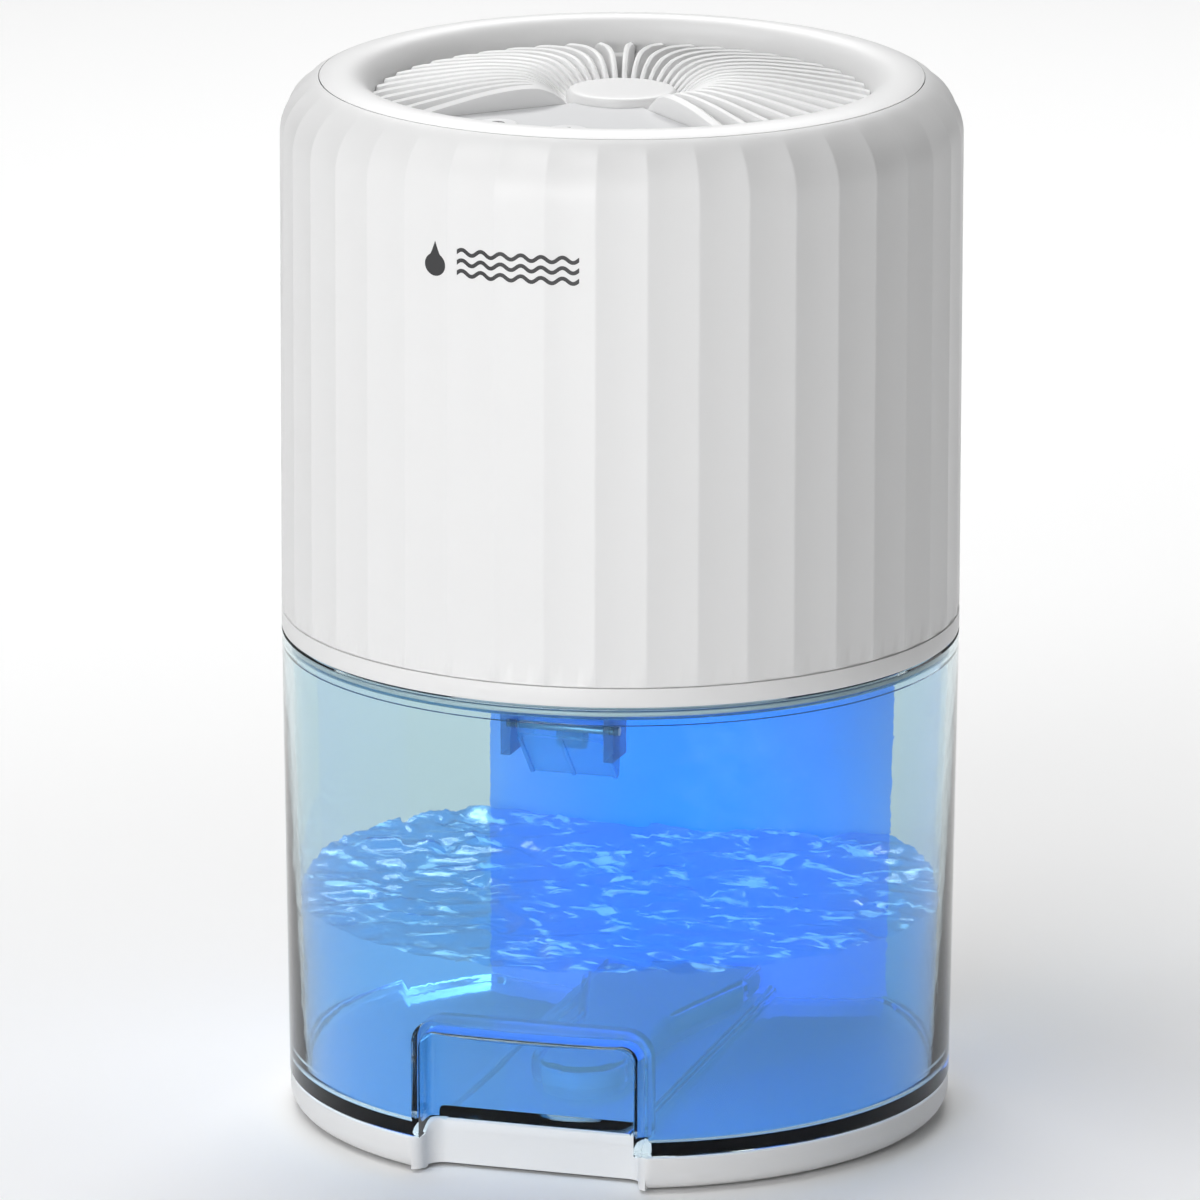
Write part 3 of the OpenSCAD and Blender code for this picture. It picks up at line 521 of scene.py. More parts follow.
FLOOR_HALF = 6000
floor = make("floor", [(x * FLOOR_HALF, y * FLOOR_HALF, 0) for x, y in ((-1, -1), (1, -1), (1, 1), (-1, 1))],
             [[0, 1, 2, 3]])
m, t, p, out = shader("pale_floor")
at, fine, broad = fields(t, 4, 300)
t.links.new(tint(t, broad, (0.90, 0.90, 0.90), (0.92, 0.92, 0.92)), p.inputs["Base Color"])
p.inputs["Roughness"].default_value = 0.6
p.inputs["Specular IOR Level"].default_value = 0.2
p.inputs["Emission Color"].default_value = (1, 1, 1, 1)
# painted light: the floor glows more away from the object, which leaves it darker near the object as a
# painted shade around it
reach = node(t, "VectorMath", operation="LENGTH")
t.links.new(at, reach.inputs[0])
painted_floor_glow = smoothstep(t, reach.outputs["Value"], 120 * MM, 500 * MM, 0.0, 0.14)
t.links.new(painted_floor_glow, p.inputs["Emission Strength"])
floor.data.materials.append(m)

world = bpy.data.worlds.new("studio")
bpy.context.scene.world = world
world.use_nodes = True
t = world.node_tree
studio = t.nodes["Background"]
studio.inputs["Color"].default_value = (1, 1, 1, 1)
# dim as a light, but bright where it shows in gloss or through clear plastic
path = node(t, "LightPath")
seen = maths(t, "MAXIMUM", path.outputs["Is Glossy Ray"], path.outputs["Is Transmission Ray"])
t.links.new(spread(t, seen, 0.03, 0.35), studio.inputs["Strength"])


def lamp(name, azimuth, height, distance, width, tall, power, target=(0, 0, 120)):
    """A soft box at an angle from the camera's side: negative azimuth is to the left."""
    data = bpy.data.lights.new(name, "AREA")
    data.shape, data.size, data.size_y, data.energy = "RECTANGLE", width * MM, tall * MM, power
    o = bpy.data.objects.new(name, data)
    bpy.context.scene.collection.objects.link(o)
    a = YAW + math.radians(azimuth)
    e = math.radians(height)
    at = Vector((math.sin(a) * math.cos(e), -math.cos(a) * math.cos(e), math.sin(e))) * distance
    place = (at + Vector(target)) * MM
    o.location = place
    o.rotation_euler = (-at).to_track_quat("-Z", "Y").to_euler()
    return o


lamp("key", -23, 12, 1500, 600, 900, 10.2)
lamp("front_fill", -5, 12, 1500, 600, 900, 1.2)
lamp("back_rim", 130, 12, 1500, 600, 900, 2.7)
lamp("top_left", -60, 65, 1600, 900, 900, 11.5)
lamp("top_back", 180, 45, 1800, 1200, 700, 19.5)


# ---------- housing ----------
def flute_in(f):
    """How far the surface lies inside the full radius, at a fraction f of a flute from its edge."""
    u = (f - 0.5) * 2 * math.pi / FLUTES
    c = BODY_R - FLUTE_DEPTH + FLUTE_ROUND
    return BODY_R - min(BODY_R, c * math.cos(u) - math.sqrt(FLUTE_ROUND**2 - (c * math.sin(u))**2))


def column_angle(c):
    f, k = divmod(c, FLUTE_STEPS)
    return math.radians(-90 + (f + FLUTE_AT[k] - 0.5) * 360 / FLUTES)


def skin_radius(angle):
    """The fluted side's radius at an angle in degrees from the front."""
    return BODY_R - flute_in((angle / 360 * FLUTES + 0.5) % 1)


def housing():
    seam_gap = 0.12
    rows = [(BODY_R - 0.2, COLLAR_TOP + 0.14, 0, 0), (BODY_R, COLLAR_TOP + 0.34, 0, 1)]
    rows += [(BODY_R, z, 0, 1) for z in (120, 124, SLOT_LOW, 145, 162, SLOT_HIGH, 184, 196, 208, 216)]
    steps = 24
    last = SEAM_ANGLE - math.degrees(seam_gap / SHOULDER_R)
    for i in range(steps + 1):
        a = last * i / steps
        rows.append((SHOULDER_C + SHOULDER_R * math.cos(math.radians(a)),
                     SHOULDER_Z + SHOULDER_R * math.sin(math.radians(a)), a, 1 - ease(38, 66, a)))
    cols = FLUTES * FLUTE_STEPS
    slot_w, slot_half = 4, 2.2
    first = (FLUTE_STEPS - slot_w) // 2
    back = [f % FLUTES for f in range(FLUTES // 2 - SLOT_COUNT // 2, FLUTES // 2 + SLOT_COUNT // 2 + 1)]
    slot_cols = {f * FLUTE_STEPS + first + k for f in back for k in range(slot_w)}
    low_row = next(i for i, r in enumerate(rows) if r[1] == SLOT_LOW)
    high_row = next(i for i, r in enumerate(rows) if r[1] == SLOT_HIGH)
    outer, inner = [], []
    for i, (r, z, a, depth) in enumerate(rows):
        for c in range(cols):
            f, k = divmod(c, FLUTE_STEPS)
            shift = 0
            if f in back and first <= k <= first + slot_w and i in (low_row, high_row):
                x = (FLUTE_AT[k] - 0.5) / (FLUTE_AT[first + slot_w] - 0.5) * slot_half
                shift = math.sqrt(max(slot_half**2 - x**2, 0)) * (-1 if i == low_row else 1)
            d = flute_in(FLUTE_AT[k]) * depth
            ca, sa = math.cos(math.radians(a)), math.sin(math.radians(a))
            ro, zo = r - d * ca, z - d * sa
            t = column_angle(c)
            outer.append((ro * math.cos(t), ro * math.sin(t), zo + shift))
            ri = SHELL_INNER if a == 0 else SHOULDER_C + (SHOULDER_R - 3) * ca
            zi = z if a == 0 else SHOULDER_Z + (SHOULDER_R - 3) * sa
            inner.append((ri * math.cos(t), ri * math.sin(t), zi + shift))
    n = len(rows)
    open_cell = {(i, c) for i in range(low_row, high_row) for c in slot_cols}
    total = n * cols
    faces = []
    for i in range(n - 1):
        for c in range(cols):
            d = (c + 1) % cols
            q = [i * cols + c, i * cols + d, (i + 1) * cols + d, (i + 1) * cols + c]
            if (i, c) not in open_cell:
                faces += [q, [v + total for v in q][::-1]]
                continue
            if (i, (c - 1) % cols) not in open_cell:
                faces.append([q[3], q[0], q[0] + total, q[3] + total][::-1])
            if (i, d) not in open_cell:
                faces.append([q[1], q[2], q[2] + total, q[1] + total][::-1])
            if i == low_row:
                faces.append([q[0], q[1], q[1] + total, q[0] + total][::-1])
            if i == high_row - 1:
                faces.append([q[2], q[3], q[3] + total, q[2] + total][::-1])
    for c in range(cols):
        d = (c + 1) % cols
        faces.append([d, c, c + total, d + total])
        k = (n - 1) * cols
        faces.append([k + c, k + d, k + d + total, k + c + total])
    return smooth(outward(make("housing_skin", outer + inner, faces)), 28)


piece(housing(), "main_unit", "housing_white", ["body_shell"])


def collar():
    w = 2.2
    o = revolve("collar", rounded([
        (5.5, COLLAR_TOP, 0), (5.5, COLLAR_TOP - w, 0.2), (BODY_R - 2.4, COLLAR_TOP - w, 0.4),
        (BODY_R - 2.4, COLLAR_LOW, 0.3), (BODY_R, COLLAR_LOW, 0.35), (BODY_R, COLLAR_TOP - 0.12, 0.15),
        (BODY_R - 0.9, COLLAR_TOP - 0.12, 0.1), (BODY_R - 0.9, COLLAR_TOP, 0.05)][::-1], 3))
    combine(o, disc("hole", 0, -21, 5.5, COLLAR_LOW - 1, COLLAR_TOP + 1))
    combine(o, disc("fill", 0, 0, 5.6, COLLAR_TOP - w, COLLAR_TOP), "UNION")
    screw_at, screw_r = 67 / math.sqrt(2), 1.6
    for x in (-screw_at, screw_at):
        for y in (-screw_at, screw_at):
            combine(o, disc("hole", x, y, screw_r, COLLAR_LOW - 1, COLLAR_TOP + 1, 20))
    combine(o, block("hole", (-11, 61, COLLAR_LOW - 1), (11, 66, COLLAR_TOP + 1)))
    return smooth(o)


piece(collar(), "main_unit", "housing_white", ["bottom_cover"])


def top_rim():
    gap = math.degrees(0.1 / SHOULDER_R)
    lip_z = TOP - LIP_R
    profile = arc(SHOULDER_C, SHOULDER_Z, SHOULDER_R, SEAM_ANGLE + gap, 90, 14)
    profile += arc(SHOULDER_C, lip_z, LIP_R, 90, 180, 18)[1:]
    profile += [(OPENING_R, LEDGE_TOP), (OPENING_R - 2.8, LEDGE_TOP), (OPENING_R - 3, LEDGE_TOP - 0.2),
                (OPENING_R - 3, LEDGE_LOW), (57, LEDGE_LOW)]
    profile += arc(SHOULDER_C + 0.5, lip_z - 0.8, 4.4, 180, 62, 10)
    profile += [(65.2, 232.7), (66.0, 233.2)]
    return smooth(revolve("top_rim", profile))


piece(top_rim(), "main_unit", "housing_white", ["top_ring"], finish="rim_white")


# ---------- outlet grille ----------
VANE_TOP = [(10.3, 5.6), (12, 5.8), (13.3, 6.6), (15.2, 8.6), (17.4, 10.3), (22.2, 11.9),
            (31.8, 11.7), (41.4, 10.3), (51.6, 8.4), (54.5, 7.6)]


def curve_at(points, x):
    """A smooth curve through points, at x."""
    n = len(points)
    i = max(k for k in range(n - 1) if points[k][0] <= x or k == 0)
    p0, p1, p2, p3 = points[max(i - 1, 0)], points[i], points[i + 1], points[min(i + 2, n - 1)]
    h = p2[0] - p1[0]
    t = (x - p1[0]) / h
    m1 = (p2[1] - p0[1]) / (p2[0] - p0[0]) * h
    m2 = (p3[1] - p1[1]) / (p3[0] - p1[0]) * h
    return ((2 * t**3 - 3 * t**2 + 1) * p1[1] + (t**3 - 2 * t**2 + t) * m1
            + (-2 * t**3 + 3 * t**2) * p2[1] + (t**3 - t**2) * m2)


def vane(angle, thin, thick, points, faces):
    """One vane: a blade with a rounded upper edge that follows the grille's arched top."""
    stations = 26
    r0, r1 = 10.4, GRILLE_R
    bottom = LEDGE_TOP + 1.5
    first = len(points)
    section = 9
    t = math.radians(angle)
    for i in range(stations + 1):
        r = mix(r0, r1, (i / stations)**0.85)
        h = mix(thin, thick, (r - r0) / (r1 - r0)) / 2
        z = LEDGE_TOP + curve_at(VANE_TOP, r)
        shape = [(-h * 0.8, bottom), (-h, z - 2.5)]
        shape += [(h * math.cos(math.radians(a)), z - h + h * math.sin(math.radians(a)))
                  for a in (180, 144, 90, 36, 0)]
        shape += [(h, z - 2.5), (h * 0.8, bottom)]
        for y, zz in shape:
            points.append((r * math.cos(t) - y * math.sin(t), r * math.sin(t) + y * math.cos(t), zz))
    for i in range(stations):
        for k in range(section):
            a, b = first + i * section, first + (i + 1) * section
            faces.append([a + k, a + (k + 1) % section, b + (k + 1) % section, b + k])
    faces.append([first + k for k in range(section)][::-1])
    faces.append([first + stations * section + k for k in range(section)])


def grille():
    points, faces = [], []
    pitch = 7.5
    for i in range(1, int(270 / pitch)):
        vane(-45 + i * pitch, 1.15, 1.9, points, faces)
    for a in (-45, 225):
        vane(a, 3, 3, points, faces)
    o = outward(make("grille", points, faces))
    inside, ring_top = GRILLE_R - 2.2, LEDGE_TOP + 5.5
    section = rounded([(inside, LEDGE_TOP, 0), (GRILLE_R, LEDGE_TOP, 0),
                       (GRILLE_R, ring_top, 0.4), (inside, ring_top, 0.6)], 3)
    ring = revolve("ring", section, 180, -45, 225)
    hub = revolve("hub", rounded([(7, LEDGE_TOP, 0), (CAP_R, LEDGE_TOP, 0.3), (CAP_R, LEDGE_TOP + 5.8, 0.3),
                                  (7, LEDGE_TOP + 5.8, 0)], 3), 96)
    join(o, [ring, hub])
    return smooth(o, 40)


def join(o, others):
    """Puts the others' meshes into o."""
    b = bmesh.new()
    for x in [o, *others]:
        b.from_mesh(x.data)
    b.to_mesh(o.data)
    b.free()
    for x in others:
        bpy.data.objects.remove(x)
    return o


piece(grille(), "main_unit", "grille_white", ["outlet_grille"])


def cap():
    z0 = LEDGE_TOP + 5.8
    top = [(CAP_R, z0), (CAP_R, CAP_TOP - 1.5)] + arc(CAP_R - 1.5, CAP_TOP - 1.5, 1.35, 0, 80, 6)[1:]
    crown = [(CAP_R * f, CAP_TOP - 0.13 * f * f) for f in (0.8, 0.6, 0.4, 0.2, 0.0)]
    o = revolve("cap", top + crown + [(0, z0)], 128)
    join(o, [revolve("stem", [(0, LEDGE_TOP + 1), (7, LEDGE_TOP + 1), (7, z0), (0, z0)], 64)])
    return smooth(o, 40)


piece(cap(), "main_unit", "housing_white", ["grille_cap"])


# ---------- buttons ----------
BUTTONS = {"button_sleep": "sleep_button", "button_mode": "mode_button", "button_power": "power_button"}


def button(name, body):
    lo, hi = low(name), high(name)
    x, y = (lo.x + hi.x) / 2, (lo.y + hi.y) / 2
    r, z = 4.7, hi.z
    flange = PANEL_Z - 2.5
    stem_r, flange_r = 2.2, r + 1.2
    profile = [(0, lo.z), (stem_r, lo.z), (stem_r, flange - 1), (flange_r, flange - 1),
               (flange_r, flange), (r, flange)]
    profile += arc(r - 0.55, z - 0.55, 0.55, 0, 90, 5)
    profile += [(3.4, z - 0.03), (2.5, z - 0.06), (0, z - 0.06)]
    o = revolve(name + "_cap", profile, 72)
    o.data.transform(Matrix.Translation(Vector((x, y, 0)) * MM))
    piece(smooth(o, 40), body, "button_white", [name])
    return x, y, z - 0.06


def ribbon(path, width, closed=False):
    """A flat outline of a line of that width along path."""
    n = len(path)
    left, right = [], []
    for i in range(n):
        a = Vector(path[(i - 1) % n] if closed or i else path[i])
        b = Vector(path[(i + 1) % n] if closed or i < n - 1 else path[i])
        d = (b - a).normalized()
        p = Vector(path[i])
        left.append(tuple(p + Vector((-d.y, d.x)) * width / 2))
        right.append(tuple(p - Vector((-d.y, d.x)) * width / 2))
    return left, right


def strip(name, path, width, z0, z1, closed=False):
    """A raised line of that width along path."""
    left, right = ribbon(path, width, closed)
    n = len(path)
    points = [(x, y, z) for z in (z0, z1) for side in (left, right) for x, y in side]
    faces = []
    for i in range(n if closed else n - 1):
        j = (i + 1) % n
        faces += [[i, j, n + j, n + i], [2 * n + i, 2 * n + j, 3 * n + j, 3 * n + i],
                  [i, j, 2 * n + j, 2 * n + i], [n + i, n + j, 3 * n + j, 3 * n + i]]
    if not closed:
        for i in (0, n - 1):
            faces.append([i, n + i, 3 * n + i, 2 * n + i])
    return outward(make(name, points, faces))


def icons():
    ink = 0.05
    for name, body in BUTTONS.items():
        x, y, z = button(name, body)
        z0, z1 = z - 0.02, z + ink
        if name == "button_sleep":
            moon = arc(0, 0, 1.75, 60, 300, 20) + arc(0.95, 0, 1.52, 272, 88, 18)
            o = prism("icon_sleep", [(x + u * 0.8 + v * 0.6, y - u * 0.6 + v * 0.8) for u, v in moon], z0, z1)
        elif name == "button_mode":
            star = []
            for a in (math.radians(d) for d in range(0, 360, 5)):
                size = 1.65 + 0.32 * math.cos(8 * a)
                star.append((size * math.cos(a) + x, size * math.sin(a) + y))
            o = strip("icon_mode", star, 0.28, z0, z1, closed=True)
        else:
            ring = [(x + u, y + v) for u, v in arc(0, -0.1, 1.6, 120, 420, 30)]
            o = strip("icon_power", ring, 0.3, z0, z1)
            join(o, [block("bar", (x - 0.15, y + 0.2, z0), (x + 0.15, y + 1.9, z1))])
        piece(smooth(o), body, "black_plastic", finish="print")


icons()


# ---------- printed mark ----------
def print_mark():
    """A drop and three ripples, laid on the fluted side a little left of the middle."""
    centre, z0, reach, ink = -3.6, 206.8, 18.0, 0.05
    points, faces = [], []

    def slab(s_values, edges):
        """Vertical slices between edges(s), wrapped on the side."""
        first = len(points)
        for s in s_values:
            a = centre + math.degrees(s / BODY_R)
            t = math.radians(-90 + a)
            za, zb = edges(s)
            for depth in (-ink, ink):
                r = skin_radius(a) + depth
                points.extend([(r * math.cos(t), r * math.sin(t), z) for z in (za, zb)])
        n = len(s_values)
        for i in range(n - 1):
            a, b = first + 4 * i, first + 4 * (i + 1)
            faces.extend([[a, a + 1, b + 1, b], [a + 2, b + 2, b + 3, a + 3], [a, b, b + 2, a + 2],
                          [a + 1, a + 3, b + 3, b + 1]])
        for a in (first, first + 4 * (n - 1)):
            faces.append([a, a + 1, a + 3, a + 2])

    def drop(s):
        u = (s + reach - 2.7) / 2.7
        u = max(-0.999, min(0.999, u))
        round_part = math.sqrt(1 - u * u)
        tip = (1 - abs(u))**1.4
        rise = max(2.5 * round_part, 5.2 * tip) if abs(u) < 0.999 else 0
        return z0 - 1.1 - 2.5 * round_part, z0 - 1.1 + rise

    slab([-reach + 2.7 + 2.69 * math.sin(math.radians(a)) for a in range(-90, 91, 6)], drop)
    start, swing, wavelength, thick = -reach + 8.2, 0.55, 4.6, 0.42
    for row in (2.3, 0.0, -2.3):
        def wave(s, row=row):
            phase = (s - start) / wavelength * 2 * math.pi
            mid = z0 + row + swing * math.sin(phase)
            slope = swing * 2 * math.pi / wavelength * math.cos(phase)
            half = thick * math.sqrt(1 + slope * slope)
            return mid - half, mid + half
        slab([mix(start, reach, i / 120) for i in range(121)], wave)
    return smooth(outward(make("print_mark", points, faces)))


piece(print_mark(), "main_unit", "black_plastic", finish="print")


# ---------- base ----------
def notch_outline(half, back, r_in, r_out, radius):
    """The front notch's plan, with rounded inner corners and outer ends that round off into the ring."""
    side = [(half - r_in, back)] + arc(half - r_in, back - r_in, r_in, 90, 0, 6)[1:]
    yc = -math.sqrt((radius - r_out)**2 - (half + r_out)**2)
    end = math.degrees(math.atan2(yc, half + r_out))
    side += arc(half + r_out, yc, r_out, 180, 360 + end - 0.01, 7)
    return side


def base():
    plate, edge, foot = 2.2, 0.5, 4.5
    profile = [(0, BASE_TOP), (BASE_R - edge, BASE_TOP)]
    profile += arc(BASE_R - edge, BASE_TOP - edge, edge, 80, 0, 4)
    profile += arc(BASE_R - foot, BASE_LOW + foot, foot, 0, -90, 10)
    profile += [(BASE_R - 5.6, BASE_LOW), (BASE_R - 5.6, BASE_TOP - plate), (0, BASE_TOP - plate)]
    o = revolve("base", profile, 288)
    wall = block("wall", (-POCKET_HALF - plate, -68, BASE_LOW + 0.4),
                 (POCKET_HALF + plate, POCKET_BACK + plate, BASE_TOP - 1))
    combine(o, wall, "UNION")
    side = notch_outline(POCKET_HALF, POCKET_BACK, 4, 2.6, BASE_R)
    outline = side + [(side[-1][0] + 1, -90)]
    outline += [(-x, y) for x, y in outline[::-1]]
    combine(o, prism("cut", outline, -5, 40))
    # the raised lip behind the notch dies away towards the ring's ends
    path = [p for p in side if p[1] > -65.3]
    path = [(-x, y) for x, y in path[::-1]] + path
    n = len(path)
    points, thick = [], 2.2
    for i, (x, y) in enumerate(path):
        a, b = Vector(path[max(i - 1, 0)]), Vector(path[min(i + 1, n - 1)])
        d = (b - a).normalized()
        inward = Vector((-d.y, d.x))
        rise = 2.6 * ease(-65.2, -61.2, y)
        q = Vector((x, y)) + inward * thick
        z0, z1 = BASE_TOP - 0.01, BASE_TOP + rise + 0.002
        r = min(0.5, rise * 0.4 + 0.001)
        crest = [(x + inward.x * r * k, y + inward.y * r * k, z1 - r * (1 - k)**2) for k in (0.3, 1.0)]
        points += [(x, y, z0), (x, y, z1 - r), *crest, (q.x, q.y, z1), (q.x, q.y, z0)]
    m = 6
    faces = [[i * m + k, i * m + (k + 1) % m, (i + 1) * m + (k + 1) % m, (i + 1) * m + k]
             for i in range(n - 1) for k in range(m)]
    faces += [list(range(m)), [(n - 1) * m + k for k in range(m)][::-1]]
    lip = outward(make("lip", points, faces))
    tongue = prism("tongue", tongue_outline(0), BASE_TOP - 1, TONGUE_TOP)
    bevel(tongue, 0.8, 3)
    post_at, post_r = 41, 7
    for x in (-post_at, post_at):
        for y in (-post_at, post_at):
            combine(o, disc("post", x, y, post_r, 1.5, BASE_TOP - 1.5, 40), "UNION")
    join(o, [lip, tongue])
    return smooth(o, 35)


def tongue_outline(grow):
    """The guide tongue's plan: a round nose that widens towards the column."""
    r, half, turn, wide, nose = 9 + grow, 17.5 + grow, 5, 35, -27
    rear = BAY_Y - 0.05 if grow == 0 else BAY_Y + 8
    front = arc(0, nose, r, 0, -180, 24)
    side = rounded([(half, rear, 0), (half, wide, 6), (r, turn, 8), (r, nose, 0)], 5)[:-1]
    return side + front + [(-x, y) for x, y in side[::-1]]


piece(base(), "main_unit", "housing_white", ["base_pan"])


# ---------- tank ----------
def tank_outline(radius, back, fillet, front=150, rear=40, turn=8):
    """The tank's plan: round in front, with the column's curved face behind and rounded rear corners."""
    yf = ((radius - fillet)**2 - (back + fillet)**2 + BAY_C**2) / (2 * BAY_C)
    xf = math.sqrt((radius - fillet)**2 - yf**2)
    a = math.degrees(math.atan2(yf, xf))
    toward = math.degrees(math.atan2(BAY_C - yf, -xf))
    rear_a = math.degrees(math.atan2(yf - BAY_C, xf))
    right = arc(xf, yf, fillet, a, toward, turn)
    left = [(-x, y) for x, y in right[::-1]]
    face = arc(0, BAY_C, back, rear_a, -180 - rear_a, rear)[1:-1]
    main = arc(0, 0, radius, 180 - a, 360 + a, front)[1:-1]
    return right + face + left + main


def tank_rings(levels, inset, fillet):
    """Levels are (z, extra inset). The wall leans out towards the rim."""
    rings = []
    for z, extra in levels:
        r = mix(TANK_FOOT_R, TANK_RIM_R, (z - TANK_FOOT) / (TANK_RIM - TANK_FOOT)) - inset - extra
        plan = tank_outline(r, BAY_R + FACE_GAP + inset + extra, fillet)
        rings.append([(x, y, z) for x, y in plan])
    return rings


def pocket_solid(name, grow, edge):
    top = POCKET_TOP + grow
    half, r = POCKET_HALF + grow, POCKET_ROUND + grow
    outline = [(-half, -5), (half, -5)] + arc(half - r, top - r, r, 0, 90, 8)
    outline += arc(-half + r, top - r, r, 90, 180, 8)
    o = prism(name, outline, -110, POCKET_BACK + grow, "y")
    return bevel(o, edge, 4, 50)


def tunnel_solid(name, grow, edge):
    o = prism(name, tongue_outline(grow), -5, TONGUE_TOP + grow)
    return bevel(o, edge, 3, 50)


def lip_way(name, grow, edge):
    """The way under the tank that the base's lip takes as the tank slides."""
    half, top = LIP_WAY_HALF + grow, LIP_WAY_TOP + grow
    outline = [(-half, -5), (half, -5), (half, top), (-half, top)]
    o = prism(name, outline, POCKET_BACK - 0.3, 90, "y")
    return bevel(o, edge, 3, 50)


def floor_levels(z0, z1, r, steps=5):
    """Levels from a floor with a rounded edge up to z1."""
    turns = [math.radians(90 * i / steps) for i in range(steps + 1)]
    return [(z0 + r * (1 - math.cos(a)), r * (1 - math.sin(a))) for a in turns] + [(z1, 0)]


def tank():
    wall_levels = [(TANK_FOOT, 0.35), (TANK_FOOT + 0.35, 0), (TANK_RIM - 0.3, 0), (TANK_RIM, 0.3)]
    o = loft("tank", tank_rings(wall_levels, 0, 3))
    cavity = loft("cavity", tank_rings(floor_levels(TANK_FLOOR, TANK_RIM + 3, 2.5), TANK_WALL, 2))
    combine(cavity, pocket_solid("p", TANK_WALL, 2.6))
    combine(cavity, tunnel_solid("t", TUNNEL_WALL, 1.6))
    combine(cavity, lip_way("w", TANK_WALL, 1.2))
    combine(o, cavity)
    combine(o, pocket_solid("p", 0, 1.2))
    combine(o, tunnel_solid("t", 0.5, 0.5))
    combine(o, lip_way("w", 0, 0.4))
    ledge_out = [(x, y) for x, y, z in tank_rings([(LID_Z, 0)], TANK_WALL - 0.3, 3)[0]]
    ledge_in = [(x, y) for x, y, z in tank_rings([(LID_Z, 0)], TANK_WALL + 1.3, 2)[0]]
    ledge = prism("ledge", ledge_out, LID_Z - 1.5, LID_Z - 0.02)
    combine(ledge, prism("inside", ledge_in, LID_Z - 3, LID_Z + 3))
    combine(o, ledge, "UNION")
    return smooth(o, 30)


piece(tank(), "tank", "clear_tank", ["tank_shell"])


def ripple(x, y):
    """The water surface's height above its level."""
    v = Vector((x / 11, y / 9, 0))
    bend = noise.noise(v * 0.8 + Vector((9, 4, 2))) * 1.2
    v += Vector((bend, bend * 0.6, 0))
    w = noise.noise(v + Vector((3, 7, 1))) + 0.55 * noise.noise(v * 2.3 + Vector((11, 2, 5)))
    crest = 0.5 - abs(noise.noise(v * 1.4 + Vector((1, 8, 3))))
    return (1.3 * w + 1.1 * crest) * (0.75 + 0.35 * ease(-50, 30, y))


def water():
    """The collected water, with a rippled surface."""
    gap = 0.03
    o = loft("water", tank_rings(floor_levels(TANK_FLOOR + gap, WATER_Z + 6, 2.5), TANK_WALL + gap, 2))
    step, nx, ny = 1.25, 122, 116
    x0, y0 = -76.2, -76.3
    points = [(x0 + i * step, y0 + j * step, WATER_Z + ripple(x0 + i * step, y0 + j * step))
              for j in range(ny + 1) for i in range(nx + 1)]
    cols = nx + 1
    faces = [[j * cols + i, j * cols + i + 1, (j + 1) * cols + i + 1, (j + 1) * cols + i]
             for j in range(ny) for i in range(nx)]
    rim = list(range(nx)) + [j * cols + nx for j in range(ny)]
    rim += [ny * cols + i for i in range(nx, 0, -1)] + [j * cols for j in range(ny, 0, -1)]
    first = len(points)
    points += [(*points[v][:2], WATER_Z + 20) for v in rim]
    n = len(rim)
    faces += [[rim[k], first + k, first + (k + 1) % n, rim[(k + 1) % n]] for k in range(n)]
    faces.append([first + k for k in range(n)])
    combine(o, outward(make("air", points, faces)))
    combine(o, pocket_solid("p", TANK_WALL + gap, 2.6))
    combine(o, tunnel_solid("t", TUNNEL_WALL + gap, 1.6))
    combine(o, lip_way("w", TANK_WALL + gap, 1.2))
    return smooth(o, 50)


piece(water(), "tank", None, finish="water")


def float_body():
    toe, heel, nose = (-33.8, 84.2), (-32, 96.5), (-44.4, 98)
    outline = [nose, (-44, 94.8), toe, (toe[0] + 1.6, toe[1]), heel, (PIN_Y, PIN_Z + 2.6)]
    o = prism("float", outline, -FLOAT_HALF, FLOAT_HALF, "x")
    bevel(o, 0.5, 2)
    below, above, rib_half = Vector((-0.35, -0.35)), Vector((0.5, 0.5)), 0.5
    a, b = Vector((-44, 94.8)), Vector(toe)
    section = [tuple(v) for v in (a + below, b + below, b + above, a + above)]
    for x in (-9.5, 0, 9.5):
        rib = prism("rib", section, x - rib_half, x + rib_half, "x")
        combine(o, bevel(rib, 0.25, 2), "UNION")
    barrel = prism("barrel", arc(PIN_Y, PIN_Z, BARREL_R, 0, 350, 35), -FLOAT_HALF, FLOAT_HALF, "x")
    combine(o, bevel(barrel, 0.3, 2, 50), "UNION")
    return smooth(o, 35)


piece(float_body(), "float", "clear_tank", ["float_box"], finish="float_blue")


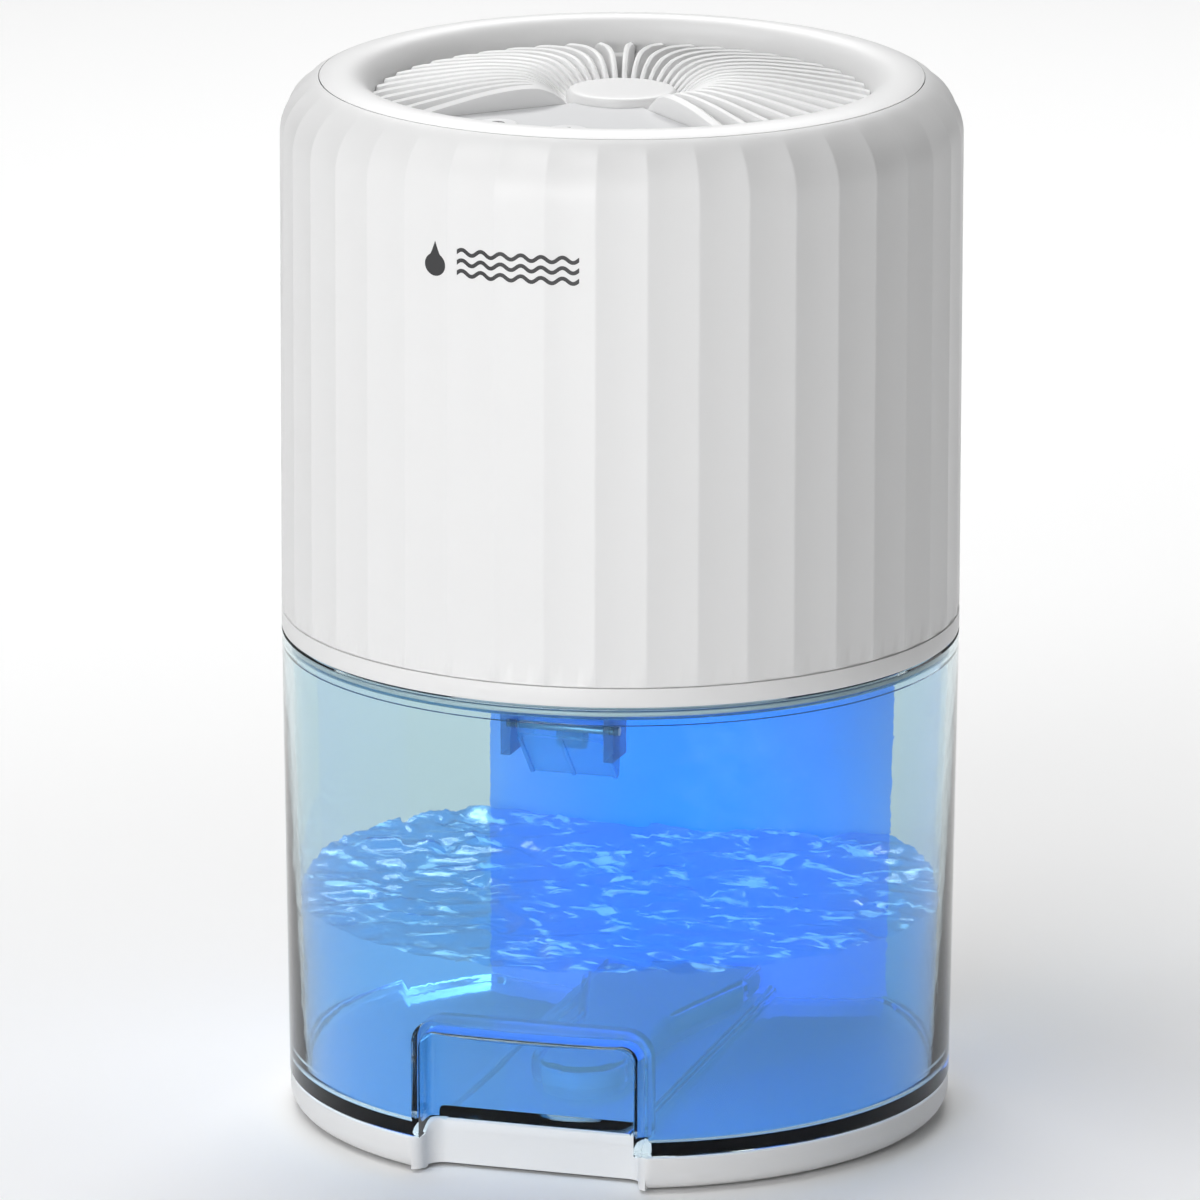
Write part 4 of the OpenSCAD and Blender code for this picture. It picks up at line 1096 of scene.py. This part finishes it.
# ---------- fan ----------
def impeller():
    z0, z1 = HUB_LOW, HUB_TOP
    r, bore, inside, edge, crown = 17, 1.6, 15.6, 1.5, 2
    profile = [(bore, z1), (r - edge, z1)] + arc(r - edge, z1 - edge, edge, 80, 0, 5)
    profile += [(r, z0), (inside, z0), (inside, z1 - crown), (bore, z1 - crown)]
    hub = revolve("impeller", profile, 96)
    blades, points, faces = 7, [], []
    across, along, mid = 8, 12, (z0 + z1) / 2
    for b in range(blades):
        first = len(points)
        for i in range(across + 1):
            rr = mix(r - 0.6, BLADE_TIP - 0.1, i / across)
            pitch = math.radians(mix(46, 33, i / across))
            chord = mix(23, 27, i / across)
            lead = math.radians(b * 360 / blades + 7 * (i / across))
            for side in (-1, 1):
                for k in range(along + 1):
                    s = (k / along - 0.5) * chord
                    camber = 1.6 * (1 - (2 * k / along - 1)**2)
                    thick = side * 0.6 * math.sqrt(max(1 - (2 * k / along - 1)**2, 0.02))
                    y = s * math.cos(pitch) - (camber + thick) * math.sin(pitch)
                    z = s * math.sin(pitch) + (camber + thick) * math.cos(pitch)
                    a = lead + y / rr
                    z = min(max(mid - 0.6 + z, z0 + 0.1), z1 - 0.1)
                    points.append((rr * math.cos(a), rr * math.sin(a), z))
        row = 2 * (along + 1)
        loop = list(range(along + 1)) + [along + 1 + k for k in range(along, -1, -1)]
        for i in range(across):
            p, q = first + i * row, first + (i + 1) * row
            for k in range(row):
                a, c = loop[k], loop[(k + 1) % row]
                faces.append([p + a, p + c, q + c, q + a])
        faces.append([first + v for v in loop][::-1])
        faces.append([first + across * row + v for v in loop])
    o = outward(make("blades", points, faces))
    join(hub, [o])
    return smooth(hub, 40)


piece(impeller(), "fan_rotor", "black_plastic", ["fan_impeller"])


# ---------- CAD nodes that stay ----------
for part in frame["record"]["subparts"]:
    o = nodes[part["node"]]
    if o.hide_render:
        continue
    for s in o.material_slots:
        s.material = look[part["material_slot"]]
    weld = o.modifiers.new("weld", "WELD")
    weld.merge_threshold = 1e-6
    soft = o.modifiers.new("edge", "BEVEL")
    soft.width, soft.segments, soft.limit_method = 0.18 * MM, 2, "ANGLE"
    soft.angle_limit = math.radians(40)
    soft.harden_normals = True
